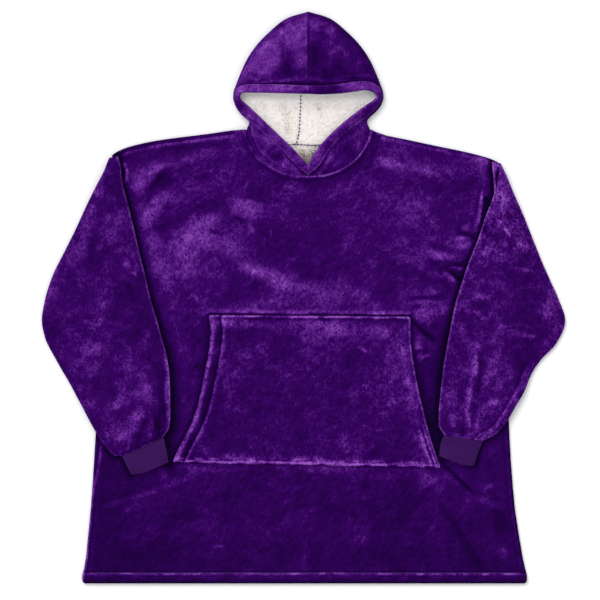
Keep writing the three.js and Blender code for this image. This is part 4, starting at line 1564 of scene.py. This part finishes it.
def hood_half(name, side):
    """Half of the hood's fleece, from its face edge round the side to the back seam."""
    rows = spaced((0, 1, 8), (1, 15, 104), (15, HOOD_ROWS, 8))
    over = spaced((0, 0.9, 44), (0.9, 1, 8))
    steps = (over, np.linspace(0, 1, 9)[1:], np.linspace(0, 1, 21)[1:])
    fine = hood_face(0, side, rows, steps)
    hidden = hood_face(FLEECE, side, rows, steps)
    x, y = fine[..., 0], fine[..., 1]
    order = np.arange(fine.shape[1])[None, :] + 0 * x
    upper = 1 - smoothstep(order, 40, 52)
    from_middle = np.abs(x - HOOD_X)
    relief = folds_at(x, y, HOOD_FOLDS[side]) + 1.2 * cloud(x, y, 60, 51, 3)
    relief += 0.45 * noise(x, y, 9, 53) + 0.25 * noise(x, y, 5, 54)
    relief *= smoothstep(order, 0, 5)
    neck = from_neckline(x, y) + 1.2 * noise(x, y, 30, 55)
    relief -= 1.4 * bell(from_middle, 2.2) * (y > CROWN_Y)
    relief -= 1.4 * bell(order, 1.6)
    relief -= 0.3 * bell(neck, 2) + 0.7 * bell(neck - 7, 2)
    shift = normals_of(fine) * (relief * upper)[..., None]
    shift[..., :2] *= smoothstep(rows, 0, 0.6)[:, None, None]
    shift[..., 0] *= smoothstep(from_middle, 0, 3)
    fine += shift
    # The left half is painted lighter, as the side of the crown that faces the main light
    base = 0.272 if side < 0 else 0.23
    crown = y > CROWN_Y
    # Painted light and shade: highlights just inside the face edge, left of the middle seam and beside the
    # neck seam, and painted shade where the hood meets the band, along the middle seam, in the neck seam's
    # groove and where the cloth turns under at its side
    lines = 0.1 * bell(order - 4.5, 2) - 0.22 * bell(order, 2.2) - 0.12 * bell(from_middle, 1.6) * crown
    lines += 0.14 * (side < 0) * bell(from_middle - 3.5, 2) * crown
    lines += 0.16 * broken(x, y, 15, 67, 0.1) * bell(neck - 9.5, 2.2) - 0.06 * bell(neck - 6, 2)
    lines -= 0.2 * bell(order - 50, 3)
    shade = np.maximum(nap_at(x, y, HOOD_NAP[side], base, 0.1) + (0.7 * facing(fine) + lines) * upper, 0.11)
    few = hidden[::COARSE, ::COARSE]
    made = wall_piece(f"fleece_hood_{name}", f"hood_{name}", fine, few, VIOLET, "fleece", shade, 0.8)


def pile_height(x, y, seed):
    """Height of curly pile, from 0 to 1: narrow winding crests with rounded hollows between them."""
    wx, wy = x + 2 * noise(x, y, 9, seed + 2), y + 2 * noise(x, y, 9, seed + 3)
    lumps = 1 - np.abs(noise(wx, wy, 6, seed))
    curls = 1 - np.abs(noise(wx, wy, 3, seed + 1))
    return 0.55 * lumps + 0.45 * curls


LINING_FOLDS = table(
    "x0 y0 x1 y1 width height",
    """
    -48 400 -24 322 11 -1.7
    -66 396 -44 340 10 1.2
    25 400 40 362 10 -1.3
    48 396 62 356 10 1.0
    -92 396 -76 376 9 -0.6
    112 402 116 388 6 -1.2
    """,
)


# Where the seam down the middle of the hood's lining lies, a little to the left of the outer one
BACK_SEAM = smooth_curve(np.array([300.0, 312, 330, 360, 405]), np.array([-19.0, -13, -9, -7, -5]))


def hood_lining(name, side):
    """Half of the hood's sherpa lining, inside its fleece."""
    rows = spaced((0, 8, 120), (8, HOOD_ROWS, 48))
    steps = (spaced((0, 1, 24)), np.linspace(0, 1, 9)[1:], np.linspace(0, 1, 97)[1:])
    fine = hood_face(WALL, side, rows, steps)
    hidden = hood_face(FLEECE + SEAM, side, rows, steps)
    x, y = fine[..., 0], fine[..., 1]
    order = np.arange(fine.shape[1])[None, :] + 0 * x
    floor = smoothstep(order, 26, 36)
    pile = pile_height(x, y, 61)
    folds = folds_at(x, y, LINING_FOLDS)
    seam = bell(x - BACK_SEAM(y), 2.5) * smoothstep(y, 302, 308)
    relief = 1.8 * pile + np.maximum(folds + 1.2, 0) - 1.4 * seam
    fine[..., 2] += relief * floor
    # Painted light and shade: lighter on the pile's crests, darker in the folds' troughs and the middle
    # seam's groove, painted lighter just under the band against its shadow, and painted shade at the neck
    # seam and below it
    shade = 0.22 + 0.45 * pile + 0.11 * np.minimum(folds, 0) - 0.2 * seam + 0.5 * smoothstep(y, 380, 404)
    shade -= 0.25 * bell(y - 306, 5) + 0.3 * (1 - smoothstep(y, 262, 306))
    few = hidden[::COARSE, ::COARSE]
    made = wall_piece(f"sherpa_hood_{name}", f"hood_lining_{name}", fine, few, CREAM, "sherpa", shade)


def neck_lining():
    """The half-moon of sherpa that shows in the neck, below the hood's lining."""
    across = np.linspace(-110, 110, 169)
    t = np.linspace(0, 1, 49)[:, None]
    low = NECKLINES.front(np.abs(across)) + 4
    high = NECKLINES.back(np.abs(across)) - 1
    y = lerp(low[None, :], high[None, :], t)
    x = HOOD_X + across[None, :] + 0 * y
    pile = pile_height(x, y, 71)
    fine = np.stack([x, y, 7 + 1.6 * pile], axis=-1)
    few = np.stack([x, y, 0 * x + WALL + SEAM], axis=-1)[::COARSE, ::COARSE]
    # Painted shade, deepening down into the neck's V, over the pile's lighter crests
    shade = 0.4 * pile - 0.05 - 0.28 * smoothstep(302 - y, 0, 34)
    made = wall_piece("sherpa_neck", "neck_lining", fine, few, CREAM, "sherpa", shade)


def hood_band(name, side):
    """The turned edge round the face, as a soft rounded bar with a stitched groove near the hood's cloth."""
    corners = 40
    angle = 2 * math.pi * (np.arange(corners) + 0.5) / corners
    c, s = np.cos(angle), np.sin(angle)
    wide, tall = np.sign(c) * np.abs(c) ** 0.75, np.sign(s) * np.abs(s) ** 0.75
    rings = []
    for row in spaced((0, HOOD_ROWS, 160)):
        inner, outer = band_lines(row, side)
        before = sum(band_lines(max(row - 0.5, 0), side))
        after = sum(band_lines(min(row + 0.5, HOOD_ROWS), side))
        up = np.cross(after - before, inner - outer)
        at_end = row in (0, HOOD_ROWS)
        up = np.array([0, 0, 1.0]) if at_end else up / np.linalg.norm(up)
        up = -up if up[2] < 0 else up
        middle, across = (inner + outer) / 2, (inner - outer) / 2
        ring = middle + wide[:, None] * across + tall[:, None] * up * BAND_THICKNESS / 2
        x, y = ring[:, 0], ring[:, 1]
        soft = 0.7 * cloud(x * side, y, 26, 81 + side) + 0.35 * noise(x, y, 6, 83)
        groove = 1.0 * bell(wide + 0.62, 0.12) * (tall > 0)
        ring += ((soft - groove) * np.clip(tall, 0, 1))[:, None] * up
        ring[:, 0] = HALF_GAP if at_end else np.maximum(ring[:, 0], HALF_GAP)
        rings.append(np.stack([HOOD_X + side * ring[:, 0], ring[:, 1], ring[:, 2]], axis=1))
    points, faces = tube(np.array(rings))
    x, y = points[:, 0], points[:, 1]
    over_brow = y > BROW_Y
    shade = 0.37 + 0.14 * cloud(x, y, 22, 85) + 0.04 * (side < 0) * over_brow
    shade += 0.5 * facing(np.array(rings)).ravel()
    shade -= 0.15 * (side > 0) * over_brow * bell(x - HOOD_X - 30, 34)
    # Painted highlights along the top of the band's outer flank and along its inner edge
    shade += np.tile(0.14 * bell(wide + 0.86, 0.12) * (tall > 0) + 0.08 * bell(wide - 0.9, 0.12), len(rings))
    ruffle = np.full(len(points), 0.9)
    node = f"hood_band_{name}"
    made = piece(f"fleece_band_{name}", points, faces, VIOLET_BAND, "band", node, nap=shade, ruffle=ruffle)


# Sewing


# Where a stitch's rings lie along it, as shares of its length, and how many corners each has
STITCH_RINGS = (-0.5, -0.3, 0, 0.3, 0.5)
STITCH_CORNERS = 6


def stitches(name, material, path, length, radius, turns, pitch=1.15):
    """Short threads along a path of points. Each is a capsule, turned by one of the angles in turns."""
    points, faces = [], []
    steps = np.linalg.norm(np.diff(path, axis=0), axis=1)
    along = np.concatenate([[0], np.cumsum(steps)])
    count = max(int(along[-1] / (length * pitch)), 2)
    corners, last = STITCH_CORNERS, len(STITCH_RINGS) - 1
    ring = np.linspace(0, 2 * math.pi, corners, endpoint=False)
    for k in range(count):
        at = (k + 0.5) / count * along[-1]
        behind, here, ahead = (
            np.array([np.interp(place, along, path[:, axis]) for axis in range(3)])
            for place in (at - 1, at, at + 1)
        )
        way = (ahead - behind) / np.linalg.norm(ahead - behind)
        turn = math.radians(turns[k % len(turns)])
        c, s = math.cos(turn), math.sin(turn)
        way = np.array([way[0] * c - way[1] * s, way[0] * s + way[1] * c, way[2]])
        side = np.array([-way[1], way[0], 0])
        for t in STITCH_RINGS:
            thick = radius * (0.35 if abs(t) == 0.5 else 1)
            arch = radius * (1 - 4 * t * t)
            for a in ring:
                up = np.array([0, 0, thick * math.sin(a) + arch])
                points.append(here + way * length * t + side * thick * math.cos(a) + up)
        first = k * corners * (last + 1)
        for i in range(last):
            for j in range(corners):
                a, b = first + i * corners + j, first + i * corners + (j + 1) % corners
                faces.append([a, b, b + corners, a + corners])
        faces.append([first + j for j in range(corners)][::-1])
        faces.append([first + last * corners + j for j in range(corners)])
    piece(name, np.array(points), faces, material, "fleece")


def sewing():
    """The overlock seams in the lining, and the hem's stitch line."""
    y = np.linspace(308, 406, 60)
    overlock = np.stack([BACK_SEAM(y), y, WALL + 1.9 + 0 * y], axis=1)
    stitches("overlock_back_seam", OVERLOCK_THREAD, overlock, 4.4, 1.15, (34, -28, 12, -40), 1.5)
    x = np.linspace(-22, 34, 40)
    neck = np.stack([x, lerp(307.5, 302.5, (x + 22) / 56), 0 * x + WALL + 2.6], axis=1)
    stitches("overlock_neck_seam", OVERLOCK_THREAD, neck, 4.6, 1.1, (12, -16, 4), 1.4)
    x = np.linspace(-428, 432, 400)
    hem_y = 0 * x + HEM_Y + HEM_DEPTH + 1
    hem = np.stack([x, hem_y, front_top(x, hem_y) - 0.1], axis=1)
    stitches("hem_stitches", SEAM_THREAD, hem, 3.4, 0.45, (0,))


front_panel()
back_panel()
pocket()
for name, side in (("left", -1), ("right", 1)):
    sleeve(name)
    cuff(name)
    hood_half(name, side)
    hood_lining(name, side)
    hood_band(name, side)
neck_lining()
sewing()


# Floor, light and camera, in metres

FLOOR_REACH = 6
FLOOR_Z = -0.0005
SKY_STRENGTH = 0.62


def stage_and_light():
    """A pale floor, an even sky and two soft suns."""
    floor = bpy.data.meshes.new("floor")
    corners = [(x * FLOOR_REACH, y * FLOOR_REACH, FLOOR_Z) for x, y in ((-1, -1), (1, -1), (1, 1), (-1, 1))]
    floor.from_pydata(corners, [], [(0, 1, 2, 3)])
    made = Nodes("pale_floor")
    shade = made.ramp(made.noise(3, 2), (0.0, (244, 244, 244)), (1.0, (250, 250, 250)))
    floor.materials.append(made.finish(shade, Roughness=0.9, Specular_IOR_Level=0.1))
    floor_object = bpy.data.objects.new("floor", floor)
    bpy.context.scene.collection.objects.link(floor_object)
    world = bpy.data.worlds.new("studio")
    world.use_nodes = True
    sky = world.node_tree.nodes["Background"]
    sky.inputs["Color"].default_value = (1, 1, 1, 1)
    sky.inputs["Strength"].default_value = SKY_STRENGTH
    bpy.context.scene.world = world
    sun("key", azimuth=KEY_AZIMUTH, elevation=57, strength=1.7, softness=36)
    sun("fill", azimuth=-60, elevation=60, strength=0.5, softness=60)
    bpy.context.scene.view_settings.view_transform = "Standard"


def sun(name, azimuth, elevation, strength, softness):
    """A light from a direction, with angles in degrees. Softness is how wide it looks from the floor."""
    light = bpy.data.lights.new(name, "SUN")
    light.energy = strength
    light.angle = math.radians(softness)
    thing = bpy.data.objects.new(name, light)
    thing.rotation_euler = (math.radians(90 - elevation), 0, math.radians(azimuth + 90))
    bpy.context.scene.collection.objects.link(thing)


def camera():
    """A camera straight above, as the garment was photographed."""
    lens, sensor, frame_width, at_height = 300, 36, 1.2, 0.010
    data = bpy.data.cameras.new("camera")
    data.lens, data.sensor_width = lens, sensor
    thing = bpy.data.objects.new("camera", data)
    thing.location = (-0.007, -0.005, at_height + frame_width * lens / sensor)
    bpy.context.scene.collection.objects.link(thing)
    bpy.context.scene.camera = thing


stage_and_light()
camera()
